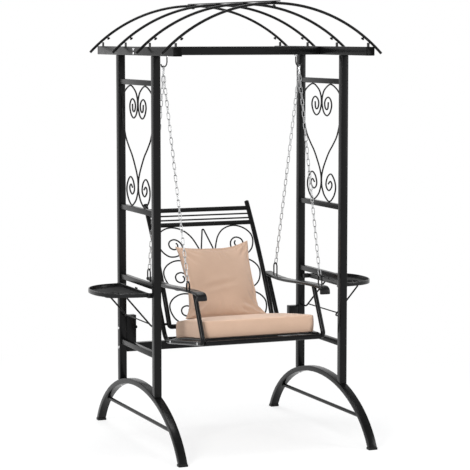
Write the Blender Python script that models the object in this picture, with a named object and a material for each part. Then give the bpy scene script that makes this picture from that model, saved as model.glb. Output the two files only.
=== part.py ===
"""Hanging chair with its stand: a bolted steel frame with a bowed roof, two fold-down trays,
and a one-seat steel chair on chains with a seat cushion and a back pillow.

Lengths are in metres, angles in degrees. X is the width, the chair faces -Y, Z is up and
the floor is z = 0. Names that end in share or shares are fractions of the size they follow.
"""
import math

import bmesh
import bpy
from mathutils import Vector

# Fits
GAP = 0.0003                 # between two faces that touch
SLOPE_GAP = 0.0006           # where a straight cut meets a gently sloping face
WELD = 0.0008                # how far two wires that are welded together sink into each other

# End frames
POST = 0.035                 # square tube of the four posts
POST_X = 0.469               # centre plane of each end frame
POST_Y = 0.242               # post centres, front and rear
RAIL = 0.025                 # square tube of the short rails between two posts
UPPER_RAIL_Z = 1.6905
PANEL_RAIL_Z = 1.0975
TRAY_RAIL_Z = 0.7625
LOW_RAIL_Z = 0.4475

# Top beams
BEAM = 0.040                 # square tube of the top beams
BEAM_TOP = 1.855
BEAM_LENGTH = 1.046

# Foot arches
ARCH_WIDTH = 0.040
ARCH_DEPTH = 0.025
ARCH_HALF_SPAN = 0.615       # outer ellipse, half axes along Y and Z
ARCH_HEIGHT = 0.413
ARCH_DROP = 0.120            # the ellipse's centre lies this far under the floor
ARCH_STEPS = 28
FOOT_CAP = 0.012             # plastic foot under each arch end
FOOT_CAP_LIP = 0.0015
BRACE_RADIUS = 0.0095
BRACE_Z = 0.133

# Rear lower beam
REAR_BEAM = 0.040            # height
REAR_BEAM_TOP = 0.435
BRACKET_WIDTH = 0.048        # upright stub on each end of the rear beam
BRACKET_TOP = 0.571

# Roof
BOW_LIFT = 0.0301            # from the top beams up to the bows' centre line over them
BOW_RISE = 0.1655            # from there up to its highest point
BOW_HALF_SPAN = 0.535
BOW_TUBE = 0.006             # tube radius
BOW_STEPS = 14
BOW_INSET = 0.023            # from the beams' ends to the outer bows
RIDGE_WIDTH = 0.025
RIDGE_THICK = 0.005
RIDGE_OVERHANG = 0.045
TAB_WIDTH = 0.005            # upright tab that carries a bow on its beam
TAB_DEPTH = 0.020

# Scroll wire
WIRE = 0.0034                # radius
WIRE_SIDES = 4
PANEL_SAMPLES = 54
SCROLL_SAMPLES = 27

# Hooks and chains
HOOK_ROD = 0.003
HOOK_X = 0.3456
HOOK_Y = -0.008
HOOK_BOTTOM_Z = 1.757        # lowest point of the hook's rod
HOOK_SHANK = 0.018           # the shank stands this far inwards of the lowest point
HOOK_BEND_HEIGHT = 0.030
CHAIN_SEAT = 0.0019          # two links lie side by side on the bend, this far above its lowest point
CHAIN_SHIFT = 0.0026         # each one this far beside it
LINK_WIRE = 0.0022           # radius of a link's three-sided wire
LINK_INNER = LINK_WIRE / 2   # from its centre line to the flat face inside the link
LINK_HALF_WIDTH = 0.0062
RUN_LINKS = 33               # after the long end link on the hook
END_LINK = 0.047
END_HALF_WIDTH = 0.0068

# Trays
TRAY_TOP = 0.732
TRAY_RIM = 0.018             # height of the rim
TRAY_FLOOR = 0.003
TRAY_WALL = 0.004
TRAY_REACH = 0.212           # from its inner edge outwards
TRAY_HALF_LENGTH = 0.200
TRAY_CLEAR = 0.003           # between the tray and the posts
TRAY_ROUND_POWER = 2.4
CUP_RADIUS = 0.040
CUP_DEPTH = 0.012            # below the tray's floor
CUP_REACH = 0.118            # cup centre from the inner edge
CUP_Y = -0.045
TRAY_HINGE_X = 0.475
TRAY_HINGE_Z = 0.722
EAR_THICK = 0.018
EAR_HALF_HEIGHT = 0.0095
EAR_OVERLAP = 0.012          # how far an ear runs into the tray
LUG_WIDTH = 0.006            # stop lug on the inner rim
LUG_LENGTH = 0.030
LUG_HEIGHT = 0.008
LUG_Y = -0.030
PIN_RADIUS = 0.004
PIN_CLEAR = 0.0004
PROP_X = 0.4685              # pivot of the wire prop
PROP_Z = 0.575
PROP_HALF = 0.168            # half distance between its two legs
PROP_REACH = 0.1205          # from the pivot out to the tips
PROP_BEND = 0.010
PROP_WIRE = 0.0037           # radius
CROSS_WIRE = 0.0028          # radius of the wire between the legs

# Chair sides, with corners as (y, z)
TUBE = 0.011                 # radius of the chair's bent tubes
ARM_X = 0.300
REAR_CORNER = (0.0931, 0.4556)
FRONT_CORNER = (-0.3986, 0.5169)
REAR_TOP = (0.2435, 0.7072)
FRONT_TOP = (-0.2950, 0.7168)
REAR_BEND = 0.070
FRONT_BEND = 0.018
ARMREST_X = 0.3072
ARMREST_WIDTH = 0.050
ARMREST_THICK = 0.015
ARMREST_REAR_Y = 0.285
ARMREST_LENGTH = 0.6790
ARMREST_LOW_Z = 0.7200       # centre line at the rolled front end
ARMREST_RISE = 0.0220        # from there to its highest point
LOOP_X = 0.3320
LOOP_SHARES = (0.8410, 0.0677)   # front and rear, from the armrest's rear end
LOOP_TOP = 0.792
LOOP_HALF_WIDTH = 0.019
LOOP_ROD = 0.003
LOOP_SINK = 0.010            # the loop's feet are welded to the armrest's edge, this far down

# Seat
SEAT_RAIL = 0.010            # radius of the side rails
SEAT_REAR_Y = 0.052          # the rails' curve as measured along their top edge
SEAT_REAR_Z = 0.4732
SEAT_FLAT = 0.0624           # from the curve's front end to the front bar
SEAT_RISE = 0.0544
BAR = 0.0125                 # radius of the front bar
BAR_Y = -0.3870
BAR_Z = 0.5140
REAR_BAR = 0.010
REAR_BAR_Y = 0.0872
REAR_BAR_Z = 0.4678
SLAT_WIDTH = 0.030
SLAT_THICK = 0.005
SLAT_DROP = 0.0012           # slat tops below the rails' top edge
SLAT_COUNT = 5
STRAP_X = 0.130              # lengthwise straps under the slats
STRAP_WIDTH = 0.020
STRAP_THICK = 0.004

# Back
BACK_X = 0.2695
BACK_TUBE = 0.0115
BACK_BOTTOM_Y = 0.1274
BACK_BOTTOM_Z = 0.5223
BACK_ANGLE = 31.1            # from upright
BACK_HEIGHT = 0.652
BACK_BOW = 0.019             # the back's middle stands this far in front of its ends
BACK_CORNER = 0.013
BACK_FOOT_V = -0.004         # the bottom rail's centre line
BACK_STEPS = 9
BACK_RAIL = 0.011
TOP_RAIL_DROP = 0.0395       # centre line, down from the back's top
LOWER_RAIL_DROP = 0.118
THIN_RAIL = 0.004
THIN_RAIL_DROPS = (0.070, 0.093)
SCROLL_ROWS = 3
SCROLL_GAP = 0.017           # between the rows
SCROLL_TOP_DROP = 0.1323
SCROLL_FOOT_V = -0.0113
STEM_X = 0.030               # the two upright rods behind the pillow
STEM_KNEE_DROP = 0.247
STEM_BEND = 0.020
STEM_TIP_BEND = 0.005
SPACER = 0.006
SPACER_VS = (0.190, 0.012)

# Cushions
CUSHION_HALF = 0.282
CUSHION_DEPTH = 0.388
CUSHION_FRONT_Y = -0.353
CUSHION_THICK = 0.080
CUSHION_ROUND = 0.014
CUSHION_CORNER = 0.035
CUSHION_CROWN = 0.012
CUSHION_DRAW = 0.006         # its sides draw in this far between the corners
PILLOW_HALF = 0.200          # half of the cover's side
PILLOW_THICK = 0.136
PILLOW_PUFF_POWER = 0.42
PILLOW_X = 0.001
PILLOW_Y = 0.1565
PILLOW_Z = 0.7360
PILLOW_ANGLE = 36.0
PILLOW_CELLS = 12

SIDES = (("left", -1), ("right", 1))
ENDS = (("front", -1), ("rear", 1))

# Finishes: colour, roughness, metallic
BLACK = ((0.022, 0.022, 0.023), 0.42, 0.35)
CAP = ((0.012, 0.012, 0.012), 0.60, 0.0)
ZINC = ((0.62, 0.63, 0.64), 0.32, 0.95)
STEEL = ((0.55, 0.55, 0.56), 0.30, 0.95)
FABRIC = ((0.60, 0.42, 0.31), 0.90, 0.0)

X_AXIS, Y_AXIS, Z_AXIS = Vector((1, 0, 0)), Vector((0, 1, 0)), Vector((0, 0, 1))


# Shape helpers
def round_section(radius, sides, turn=0.0):
    """Points of a round section, as pairs along the path's normal and across the path."""
    step = 2 * math.pi / sides
    return [(radius * math.cos(turn + i * step), radius * math.sin(turn + i * step)) for i in range(sides)]


def any_side(direction):
    """A unit vector square to a direction."""
    helper = X_AXIS if abs(direction.x) < abs(direction.z) + abs(direction.y) else Z_AXIS
    return direction.cross(helper).normalized()


def add_rings(bm, rings, closed=False):
    """Skin a row of point rings, with flat ends unless the row closes on itself."""
    rows = [[bm.verts.new(point) for point in ring] for ring in rings]
    count = len(rows[0])
    pairs = list(zip(rows, rows[1:]))
    if closed:
        pairs.append((rows[-1], rows[0]))
    for row, following in pairs:
        for i in range(count):
            j = (i + 1) % count
            bm.faces.new((row[i], row[j], following[j], following[i]))
    if not closed:
        bm.faces.new(rows[0][::-1])
        bm.faces.new(rows[-1])


def trimmed(point, tangent, surface):
    """Slide a point along a tube until it lies on a surface z = surface(y)."""
    for _ in range(6):
        point = point + tangent * ((surface(point.y) - point.z) / tangent.z)
    return point


def add_tube(bm, path, section, side=None, closed=False, cut=None):
    """Sweep a section along a path. side is the normal of the path's plane.

    cut is a height z as a function of y, to which both ends are trimmed.
    """
    path = [Vector(point) for point in path]
    last = len(path) - 1
    side = side.normalized() if side is not None else any_side((path[-1] - path[0]).normalized())
    rings = []
    for i, point in enumerate(path):
        before = path[i - 1] if i > 0 or closed else point
        after = path[(i + 1) % len(path)] if i < last or closed else point
        arriving = (point - before).normalized() if before != point else (after - point).normalized()
        leaving = (after - point).normalized() if after != point else arriving
        tangent = (arriving + leaving).normalized()
        across = tangent.cross(side)
        mitre = 1 / max(tangent.dot(leaving), 0.5)
        ring = [point + side * a + across * b * mitre for a, b in section]
        if cut and i in (0, last):
            ring = [trimmed(spot, tangent, cut) for spot in ring]
        rings.append(ring)
    add_rings(bm, rings, closed)


def add_rod(bm, start, end, radius, sides=8):
    add_tube(bm, (start, end), round_section(radius, sides, math.pi / sides))


def add_box(bm, low, high):
    """A box between two corners, given in any order."""
    x1, x2 = sorted((low[0], high[0]))
    y1, y2 = sorted((low[1], high[1]))
    z1, z2 = sorted((low[2], high[2]))
    outline = ((x1, y1), (x2, y1), (x2, y2), (x1, y2))
    add_rings(bm, [[Vector((x, y, z)) for x, y in outline] for z in (z1, z2)])


def add_strip(bm, top, bottom, x_low, x_high):
    """A solid between two rows of (y, z) points, from one x to another."""
    rings = []
    for (y1, z1), (y2, z2) in zip(top, bottom):
        rings.append([Vector((x_low, y1, z1)), Vector((x_high, y1, z1)),
                      Vector((x_high, y2, z2)), Vector((x_low, y2, z2))])
    add_rings(bm, rings)


def rounded(corners, radii, steps):
    """A path through corner points with each inner corner rounded to its radius."""
    corners = [Vector(corner) for corner in corners]
    path = [corners[0]]
    for i, radius in enumerate(radii, start=1):
        back = (corners[i - 1] - corners[i]).normalized()
        ahead = (corners[i + 1] - corners[i]).normalized()
        half = back.angle(ahead) / 2
        centre = corners[i] + (back + ahead).normalized() * (radius / math.sin(half))
        first = corners[i] + back * (radius / math.tan(half)) - centre
        final = corners[i] + ahead * (radius / math.tan(half)) - centre
        swing = first.angle(final)
        for k in range(steps + 1):
            share = k / steps
            blend = first * math.sin((1 - share) * swing) + final * math.sin(share * swing)
            path.append(centre + blend / math.sin(swing))
    path.append(corners[-1])
    return path


def smooth(points, steps):
    """A Catmull-Rom curve through the given points, as a list of points."""
    points = [Vector(point) for point in points]
    ends = [2 * points[0] - points[1]] + points + [2 * points[-1] - points[-2]]
    path = []
    for p0, p1, p2, p3 in zip(ends, ends[1:], ends[2:], ends[3:]):
        for k in range(steps):
            t = k / steps
            path.append(0.5 * (2 * p1 + (p2 - p0) * t + (2 * p0 - 5 * p1 + 4 * p2 - p3) * t ** 2
                               + (3 * p1 - p0 - 3 * p2 + p3) * t ** 3))
    return path + [points[-1]]


def even(path, count):
    """The same path with evenly spaced points."""
    lengths = [0.0]
    for a, b in zip(path, path[1:]):
        lengths.append(lengths[-1] + (b - a).length)
    spots, k = [], 0
    for i in range(count):
        goal = lengths[-1] * i / (count - 1)
        while k < len(path) - 2 and lengths[k + 1] < goal:
            k += 1
        span = lengths[k + 1] - lengths[k]
        spots.append(path[k].lerp(path[k + 1], (goal - lengths[k]) / span))
    return spots


def read_row(row, x):
    """The second value of a row of pairs at a given first value, along straight lines."""
    row = sorted(row)
    pairs = list(zip(row, row[1:]))
    for (x1, y1), (x2, y2) in pairs:
        if x <= x2 and x2 > x1:
            break
    return y1 + (y2 - y1) * (x - x1) / (x2 - x1)


# Objects
def clear_scene():
    for item in list(bpy.data.objects):
        bpy.data.objects.remove(item, do_unlink=True)


def make_material(name, finish):
    colour, roughness, metallic = finish
    material = bpy.data.materials.new(name)
    material.use_nodes = True
    shader = material.node_tree.nodes["Principled BSDF"]
    shader.inputs["Base Color"].default_value = (*colour, 1)
    shader.inputs["Roughness"].default_value = roughness
    shader.inputs["Metallic"].default_value = metallic
    return material


def axis_empty(name, place):
    empty = bpy.data.objects.new(name, None)
    empty.location = place
    bpy.context.scene.collection.objects.link(empty)
    return empty


def piece(name, bm, finish, carrier=None, round_shape=False):
    """Make an object of the mesh, with its origin at its middle or on its carrier's axis."""
    bmesh.ops.recalc_face_normals(bm, faces=bm.faces)
    if bm.calc_volume(signed=True) < 0:
        bmesh.ops.reverse_faces(bm, faces=bm.faces)
    low = Vector([min(v.co[k] for v in bm.verts) for k in range(3)])
    high = Vector([max(v.co[k] for v in bm.verts) for k in range(3)])
    origin = carrier.location.copy() if carrier else (low + high) / 2
    bmesh.ops.translate(bm, verts=bm.verts, vec=-origin)
    mesh = bpy.data.meshes.new(name)
    bm.to_mesh(mesh)
    bm.free()
    if round_shape:
        mesh.shade_smooth()
        mesh.set_sharp_from_angle(angle=math.radians(50))
    mesh.materials.append(make_material(name, finish))
    item = bpy.data.objects.new(name, mesh)
    bpy.context.scene.collection.objects.link(item)
    if carrier:
        item.parent = carrier
    else:
        item.location = origin
    return item


def combine(item, name, bm, operation, carrier=None):
    """Join a hidden helper shape to an object, or cut it out."""
    helper = piece(f"{item.name}_{name}", bm, BLACK, carrier)
    helper.hide_render = True
    helper.display_type = "WIRE"
    tool = item.modifiers.new(name, "BOOLEAN")
    tool.operation = operation
    tool.solver = "EXACT"
    tool.object = helper


# Foot arches
def arch_edge(depth):
    """Points (y, z) of the arch's outer face, or of a face that lies deeper by depth."""
    half_y, half_z = ARCH_HALF_SPAN - depth, ARCH_HEIGHT - depth
    first = math.asin((ARCH_DROP + FOOT_CAP) / half_z)
    points = []
    for i in range(ARCH_STEPS + 1):
        angle = first + (math.pi - 2 * first) * i / ARCH_STEPS
        points.append((half_y * math.cos(angle), half_z * math.sin(angle) - ARCH_DROP))
    return points


def arch_reach(z):
    """How far from the middle the arch's inner face lies at a height."""
    half = [(spot_z, y) for y, spot_z in arch_edge(ARCH_DEPTH) if y > 0]
    return read_row(half, z)


def make_arches():
    outer, inner = arch_edge(0.0), arch_edge(ARCH_DEPTH)
    section = round_section(BRACE_RADIUS, 8, math.pi / 8)
    for side, sign in SIDES:
        middle = sign * POST_X
        bm = bmesh.new()
        add_strip(bm, outer, inner, middle - ARCH_WIDTH / 2, middle + ARCH_WIDTH / 2)
        piece(side + "_foot_arch", bm, BLACK, round_shape=True)
        bm = bmesh.new()
        rings = []
        for way in (-1, 1):
            rings.append([Vector((middle + a, way * (arch_reach(BRACE_Z + b) - SLOPE_GAP), BRACE_Z + b))
                          for a, b in section])
        add_rings(bm, rings)
        piece(side + "_foot_brace", bm, BLACK, round_shape=True)
        half = ARCH_WIDTH / 2 + FOOT_CAP_LIP
        for end, way in ENDS:
            bm = bmesh.new()
            add_box(bm, (middle - half, way * (inner[0][0] - FOOT_CAP_LIP), 0),
                    (middle + half, way * (outer[0][0] + FOOT_CAP_LIP), FOOT_CAP - GAP))
            piece(f"{side}_{end}_foot_cap", bm, CAP)


# End frames
def make_end_frames():
    top = BEAM_TOP - BEAM - GAP
    arch = arch_edge(0.0)
    inner = POST_Y - POST / 2 - GAP
    for side, sign in SIDES:
        middle = sign * POST_X
        for end, way in ENDS:
            ys = [way * POST_Y + POST * (i / 4 - 1 / 2) for i in range(5)]
            bm = bmesh.new()
            add_strip(bm, [(y, top) for y in ys], [(y, read_row(arch, y) + SLOPE_GAP) for y in ys],
                      middle - POST / 2, middle + POST / 2)
            piece(f"{side}_{end}_post", bm, BLACK)
        for name, z in (("upper_rail", UPPER_RAIL_Z), ("panel_rail", PANEL_RAIL_Z),
                        ("tray_rail", TRAY_RAIL_Z), ("low_rail", LOW_RAIL_Z)):
            bm = bmesh.new()
            add_box(bm, (middle - RAIL / 2, -inner, z - RAIL / 2), (middle + RAIL / 2, inner, z + RAIL / 2))
            piece(f"{side}_{name}", bm, BLACK)


def panel_shares():
    """The end panel's wire as shares of half its width and of its height, from curl to curl."""
    upper_curl = [(0.33, 0.848), (0.31, 0.797), (0.24, 0.784), (0.17, 0.800), (0.14, 0.838), (0.20, 0.873),
                  (0.33, 0.890), (0.45, 0.868), (0.50, 0.820), (0.42, 0.762), (0.27, 0.732), (0.12, 0.752)]
    lobe = [(0.030, 0.80), (0.0, 0.85), (0.032, 0.905), (0.15, 0.957), (0.43, 1.0), (0.72, 0.970),
            (0.92, 0.915), (1.0, 0.82), (0.93, 0.70), (0.79, 0.575), (0.58, 0.490), (0.37, 0.420),
            (0.17, 0.328), (0.055, 0.262), (0.0, 0.205), (0.0, 0.14)]
    lower_curl = [(0.05, 0.092), (0.16, 0.042), (0.39, 0.0), (0.60, 0.040), (0.72, 0.110), (0.68, 0.180),
                  (0.50, 0.236), (0.32, 0.212), (0.23, 0.152), (0.27, 0.112), (0.39, 0.094), (0.51, 0.122),
                  (0.53, 0.155), (0.45, 0.174), (0.35, 0.150)]
    return upper_curl + lobe + lower_curl


def add_panel_half(bm, x, way):
    """One half of an end panel. The two halves are welded together where they meet at the middle."""
    section = round_section(WIRE, WIRE_SIDES)
    low, high = PANEL_RAIL_Z + RAIL / 2 + WIRE + GAP, UPPER_RAIL_Z - RAIL / 2 - WIRE - GAP
    near, far = WIRE - WELD, POST_Y - POST / 2 - WIRE - GAP
    shape = [(x, near + across * (far - near), low + up * (high - low)) for across, up in panel_shares()]
    path = even(smooth(shape, 6), PANEL_SAMPLES)
    limited = [(x, way * min(max(spot.y, near), far), min(max(spot.z, low), high)) for spot in path]
    add_tube(bm, limited, section, X_AXIS)


def make_scroll_panels():
    for side, sign in SIDES:
        bm = bmesh.new()
        add_panel_half(bm, sign * POST_X, -1)
        panel = piece(side + "_scroll_panel", bm, BLACK, round_shape=True)
        bm = bmesh.new()
        add_panel_half(bm, sign * POST_X, 1)
        combine(panel, "rear_half", bm, "UNION")


# Top beams
def make_top_beams():
    half = BEAM_LENGTH / 2
    low = BEAM_TOP - BEAM
    outer = POST_X + TAB_WIDTH / 2
    slant = bow_radius() / (bow_z(outer) - bow_apex_z() + bow_radius())
    tab_top = bow_z(outer) - (BOW_TUBE + 2 * SLOPE_GAP) * slant
    for side, sign in SIDES:
        middle = sign * POST_X
        bm = bmesh.new()
        add_box(bm, (middle - BEAM / 2, -half, low), (middle + BEAM / 2, half, BEAM_TOP))
        beam = piece(side + "_top_beam", bm, BLACK)
        bm = bmesh.new()
        for y in bow_ys():
            add_box(bm, (middle - TAB_WIDTH / 2, y - TAB_DEPTH / 2, BEAM_TOP - BEAM / 4),
                    (middle + TAB_WIDTH / 2, y + TAB_DEPTH / 2, tab_top))
        combine(beam, "bow_tabs", bm, "UNION")
    reach = POST_X - BEAM / 2 - GAP
    bm = bmesh.new()
    add_box(bm, (-reach, -BEAM / 2, low), (reach, BEAM / 2, BEAM_TOP))
    piece("top_crossbeam", bm, BLACK)


def make_rear_beam():
    reach = POST_X - POST / 2 - GAP
    near, far = POST_Y - POST / 2, POST_Y + POST / 2
    bm = bmesh.new()
    add_box(bm, (-reach, near, REAR_BEAM_TOP - REAR_BEAM), (reach, far, REAR_BEAM_TOP))
    beam = piece("rear_lower_beam", bm, BLACK)
    bm = bmesh.new()
    for _, sign in SIDES:
        add_box(bm, (sign * reach, near, REAR_BEAM_TOP - REAR_BEAM / 2),
                (sign * (reach - BRACKET_WIDTH), far, BRACKET_TOP))
    combine(beam, "end_brackets", bm, "UNION")


# Roof
def bow_radius():
    """Radius of a bow's centre line, which rises by BOW_RISE between the beams and its middle."""
    return (POST_X ** 2 + BOW_RISE ** 2) / (2 * BOW_RISE)


def bow_apex_z():
    return BEAM_TOP + BOW_LIFT + BOW_RISE


def bow_z(x):
    return bow_apex_z() - bow_radius() + math.sqrt(bow_radius() ** 2 - x ** 2)


def bow_ys():
    end = BEAM_LENGTH / 2 - BOW_INSET
    return (-end, -end / 3, end / 3, end)


def make_roof():
    radius = bow_radius()
    reach = math.asin(BOW_HALF_SPAN / radius)
    names = ("front", "front_middle", "rear_middle", "rear")
    for name, y in zip(names, bow_ys()):
        path = []
        for i in range(BOW_STEPS + 1):
            angle = reach * (2 * i / BOW_STEPS - 1)
            drop = radius * (1 - math.cos(angle))
            path.append((radius * math.sin(angle), y, bow_apex_z() - drop))
        bm = bmesh.new()
        add_tube(bm, path, round_section(BOW_TUBE, 6, math.pi / 6), Y_AXIS)
        piece(f"roof_bow_{name}", bm, BLACK, round_shape=True)
    half = max(bow_ys()) + RIDGE_OVERHANG
    low = bow_apex_z() + BOW_TUBE + GAP
    bm = bmesh.new()
    add_box(bm, (-RIDGE_WIDTH / 2, -half, low), (RIDGE_WIDTH / 2, half, low + RIDGE_THICK))
    piece("roof_ridge_bar", bm, BLACK)


# Hooks and chains
def hook_shares():
    """The hook's bend from its shank to its tip, as shares of the shank's offset and of the bend's height."""
    return [(-1.0, 1.0), (-1.0, 0.80), (-0.86, 0.40), (-0.50, 0.12), (0.0, 0.0), (0.39, 0.08), (0.58, 0.30),
            (0.61, 0.47)]


def make_hooks():
    low = HOOK_BOTTOM_Z + HOOK_ROD
    for side, sign in SIDES:
        bend = [(sign * (HOOK_X + across * HOOK_SHANK), HOOK_Y, low + up * HOOK_BEND_HEIGHT)
                for across, up in hook_shares()]
        top = Vector((sign * (HOOK_X - HOOK_SHANK), HOOK_Y, BEAM_TOP - BEAM - GAP))
        bm = bmesh.new()
        add_tube(bm, [top] + smooth(bend, 2), round_section(HOOK_ROD, 6), Y_AXIS)
        piece(side + "_hook", bm, BLACK, round_shape=True)


def add_link(bm, middle, length, half_width, along, side):
    """One chain link: along is its long direction, side the normal of its plane."""
    across = along.cross(side).normalized()
    tip, narrow = length / 2, 2 * half_width / 3
    outline = [(tip, narrow), (0, half_width), (-tip, narrow), (-tip, -narrow), (0, -half_width), (tip, -narrow)]
    path = [middle + along * a + across * b for a, b in outline]
    add_tube(bm, path, round_section(LINK_WIRE, 3, -math.pi / 2), side, closed=True)


def make_chains(seat):
    """Four chains, each from a long end link on its hook to a loop on an armrest.

    Each link is a quarter turn from the last, and its neighbours are in the other mesh.
    """
    overlap = 2 * LINK_INNER - WELD
    for side, sign in SIDES:
        for (end, way), y in zip(ENDS, loop_ys()):
            rod = Vector((sign * HOOK_X + way * CHAIN_SHIFT, HOOK_Y, HOOK_BOTTOM_Z + HOOK_ROD))
            loop_middle = Vector((sign * LOOP_X, y, LOOP_TOP - LOOP_ROD - LOOP_HALF_WIDTH))
            pull = rod - loop_middle
            pull.x = 0
            goal = loop_middle + pull.normalized() * LOOP_HALF_WIDTH
            along = (goal - rod).normalized()
            start = rod - along * (HOOK_ROD + CHAIN_SEAT + LINK_INNER)
            run = (goal - start).length + LOOP_ROD + LINK_INNER + 2 * SLOPE_GAP - END_LINK - overlap
            pitch = run / RUN_LINKS
            across = along.cross(X_AXIS).normalized()
            sides = (across, along.cross(across).normalized())
            meshes = (bmesh.new(), bmesh.new())
            add_link(meshes[1], start + along * (END_LINK + overlap) / 2, END_LINK + overlap, END_HALF_WIDTH,
                     along, X_AXIS)
            for i in range(RUN_LINKS):
                middle = start + along * (END_LINK + i * pitch + (pitch + overlap) / 2)
                add_link(meshes[i % 2], middle, pitch + overlap, LINK_HALF_WIDTH, along, sides[i % 2])
            chain = piece(f"{side}_{end}_chain", meshes[0], ZINC, seat, round_shape=True)
            combine(chain, "other_links", meshes[1], "UNION", seat)


# Chair sides
def loop_ys():
    return [ARMREST_REAR_Y - share * ARMREST_LENGTH for share in LOOP_SHARES]


def armrest_row():
    """Centre line (y, z) of the armrest strap from its rear end over the arm to its rolled front."""
    shares = [(0.0, 0.84), (0.067, 0.59), (0.156, 0.386), (0.26, 0.282), (0.349, 0.31), (0.438, 0.418),
              (0.527, 0.582), (0.616, 0.736), (0.72, 0.886), (0.824, 0.99), (0.913, 1.0), (0.967, 0.886),
              (0.993, 0.52), (1.0, -0.15)]
    row = [(0, ARMREST_REAR_Y - y * ARMREST_LENGTH, ARMREST_LOW_Z + z * ARMREST_RISE) for y, z in shares]
    return [(spot.y, spot.z) for spot in smooth(row, 2)]


def armrest_z(y):
    return read_row(armrest_row()[:-6], y)


def under_armrest(y):
    return armrest_z(y) - ARMREST_THICK / 2 - SLOPE_GAP


def strap_section(width, thick):
    """A flat strap with rounded edges."""
    flat = width / 2 - thick / 2
    points = []
    for i in range(4):
        angle = math.pi * (i / 3 - 1 / 2)
        points.append((flat + thick / 2 * math.cos(angle), thick / 2 * math.sin(angle)))
    return points + [(-a, -b) for a, b in points]


def add_arm_loop(bm, x, y):
    """A rod bent to an upturned U that is let into the armrest."""
    centre_z = LOOP_TOP - LOOP_ROD - LOOP_HALF_WIDTH
    path = []
    for i in range(7):
        angle = math.pi * i / 6
        path.append(Vector((x, y + LOOP_HALF_WIDTH * math.cos(angle),
                            centre_z + LOOP_HALF_WIDTH * math.sin(angle))))
    feet = [path[0].copy(), path[-1].copy()]
    for foot in feet:
        foot.z = armrest_z(foot.y) + ARMREST_THICK / 2 - LOOP_SINK
    add_tube(bm, [feet[0]] + path + [feet[1]], round_section(LOOP_ROD, 6), X_AXIS)


def make_chair_sides(seat):
    for side, sign in SIDES:
        corners = [(sign * ARM_X, *spot) for spot in (REAR_TOP, REAR_CORNER, FRONT_CORNER, FRONT_TOP)]
        path = rounded(corners, (REAR_BEND, FRONT_BEND), 5)
        bm = bmesh.new()
        add_tube(bm, path, round_section(TUBE, 8), X_AXIS, cut=under_armrest)
        piece(side + "_arm_frame", bm, BLACK, seat, round_shape=True)
        path = [(sign * ARMREST_X, y, z) for y, z in armrest_row()]
        bm = bmesh.new()
        add_tube(bm, path, strap_section(ARMREST_WIDTH, ARMREST_THICK), X_AXIS)
        armrest = piece(side + "_armrest", bm, BLACK, seat, round_shape=True)
        bm = bmesh.new()
        for y in loop_ys():
            add_arm_loop(bm, sign * LOOP_X, y)
        combine(armrest, "chain_loops", bm, "UNION", seat)


# Seat frame
def seat_shares():
    """Shares of the seat's depth, from the rear, and of its rise."""
    return [(0.0, 0.0), (0.143, 0.162), (0.319, 0.408), (0.493, 0.608), (0.664, 0.746), (0.833, 0.857),
            (1.0, 1.0)]


def seat_depth():
    """Depth of the curve in the side rails."""
    return SEAT_REAR_Y - BAR_Y - SEAT_FLAT


def seat_rail_top(y):
    """Height of the side rails' top edge, which rises towards the front in a shallow curve."""
    share = (SEAT_REAR_Y - y) / seat_depth()
    return SEAT_REAR_Z + read_row(seat_shares(), share) * SEAT_RISE


def seat_rail_flat():
    """From the middle of a side rail's eight-sided section to its flats."""
    return SEAT_RAIL * math.cos(math.pi / 8)


def make_seat_frame(seat):
    rail_front = BAR_Y + BAR + SLOPE_GAP
    rail_rear = REAR_BAR_Y - REAR_BAR - 2 * SLOPE_GAP
    rail_x = ARM_X - TUBE - SLOPE_GAP - SEAT_RAIL
    ys = [rail_rear] + [SEAT_REAR_Y - share * seat_depth() for share, _ in seat_shares()] + [rail_front]
    for side, sign in SIDES:
        bm = bmesh.new()
        add_tube(bm, [(sign * rail_x, y, seat_rail_top(y) - SEAT_RAIL) for y in ys],
                 round_section(SEAT_RAIL, 8, math.pi / 8), X_AXIS)
        piece(side + "_seat_rail", bm, BLACK, seat, round_shape=True)
    reach = ARM_X - TUBE - GAP
    for name, y, z, radius in (("front", BAR_Y, BAR_Z, BAR), ("rear", REAR_BAR_Y, REAR_BAR_Z, REAR_BAR)):
        bm = bmesh.new()
        add_rod(bm, (-reach, y, z), (reach, y, z), radius)
        piece(f"seat_{name}_bar", bm, BLACK, seat, round_shape=True)
    make_slats(seat, rail_x - seat_rail_flat() - GAP, rail_front + SLAT_WIDTH, rail_rear - SLAT_WIDTH)


def make_slats(seat, reach, first, last):
    bm = bmesh.new()
    middles = [first + (last - first) * i / (SLAT_COUNT - 1) for i in range(SLAT_COUNT)]
    for middle in middles:
        ys = (middle - SLAT_WIDTH / 2, middle + SLAT_WIDTH / 2)
        top = [(y, seat_rail_top(y) - SLAT_DROP) for y in ys]
        add_strip(bm, top, [(y, z - SLAT_THICK) for y, z in top], -reach, reach)
    slats = piece("seat_slats", bm, BLACK, seat)
    bm = bmesh.new()
    top = [(y, seat_rail_top(y) - SLAT_DROP - SLAT_THICK / 2) for y in middles]
    bottom = [(y, z - STRAP_THICK) for y, z in top]
    for x in (-STRAP_X, STRAP_X):
        add_strip(bm, top, bottom, x - STRAP_WIDTH / 2, x + STRAP_WIDTH / 2)
    combine(slats, "lengthwise_straps", bm, "UNION", seat)


# Chair back
def back_point(x, v):
    """A point of the back's bowed face, v up along it from its bottom rail."""
    tilt = math.radians(BACK_ANGLE)
    share = min(max(v / BACK_HEIGHT, 0), 1)
    bow = 4 * BACK_BOW * share * (1 - share)
    return Vector((x, BACK_BOTTOM_Y + v * math.sin(tilt) - bow, BACK_BOTTOM_Z + v * math.cos(tilt)))


def back_normal():
    tilt = math.radians(BACK_ANGLE)
    return Vector((0, -math.cos(tilt), math.sin(tilt)))


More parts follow.
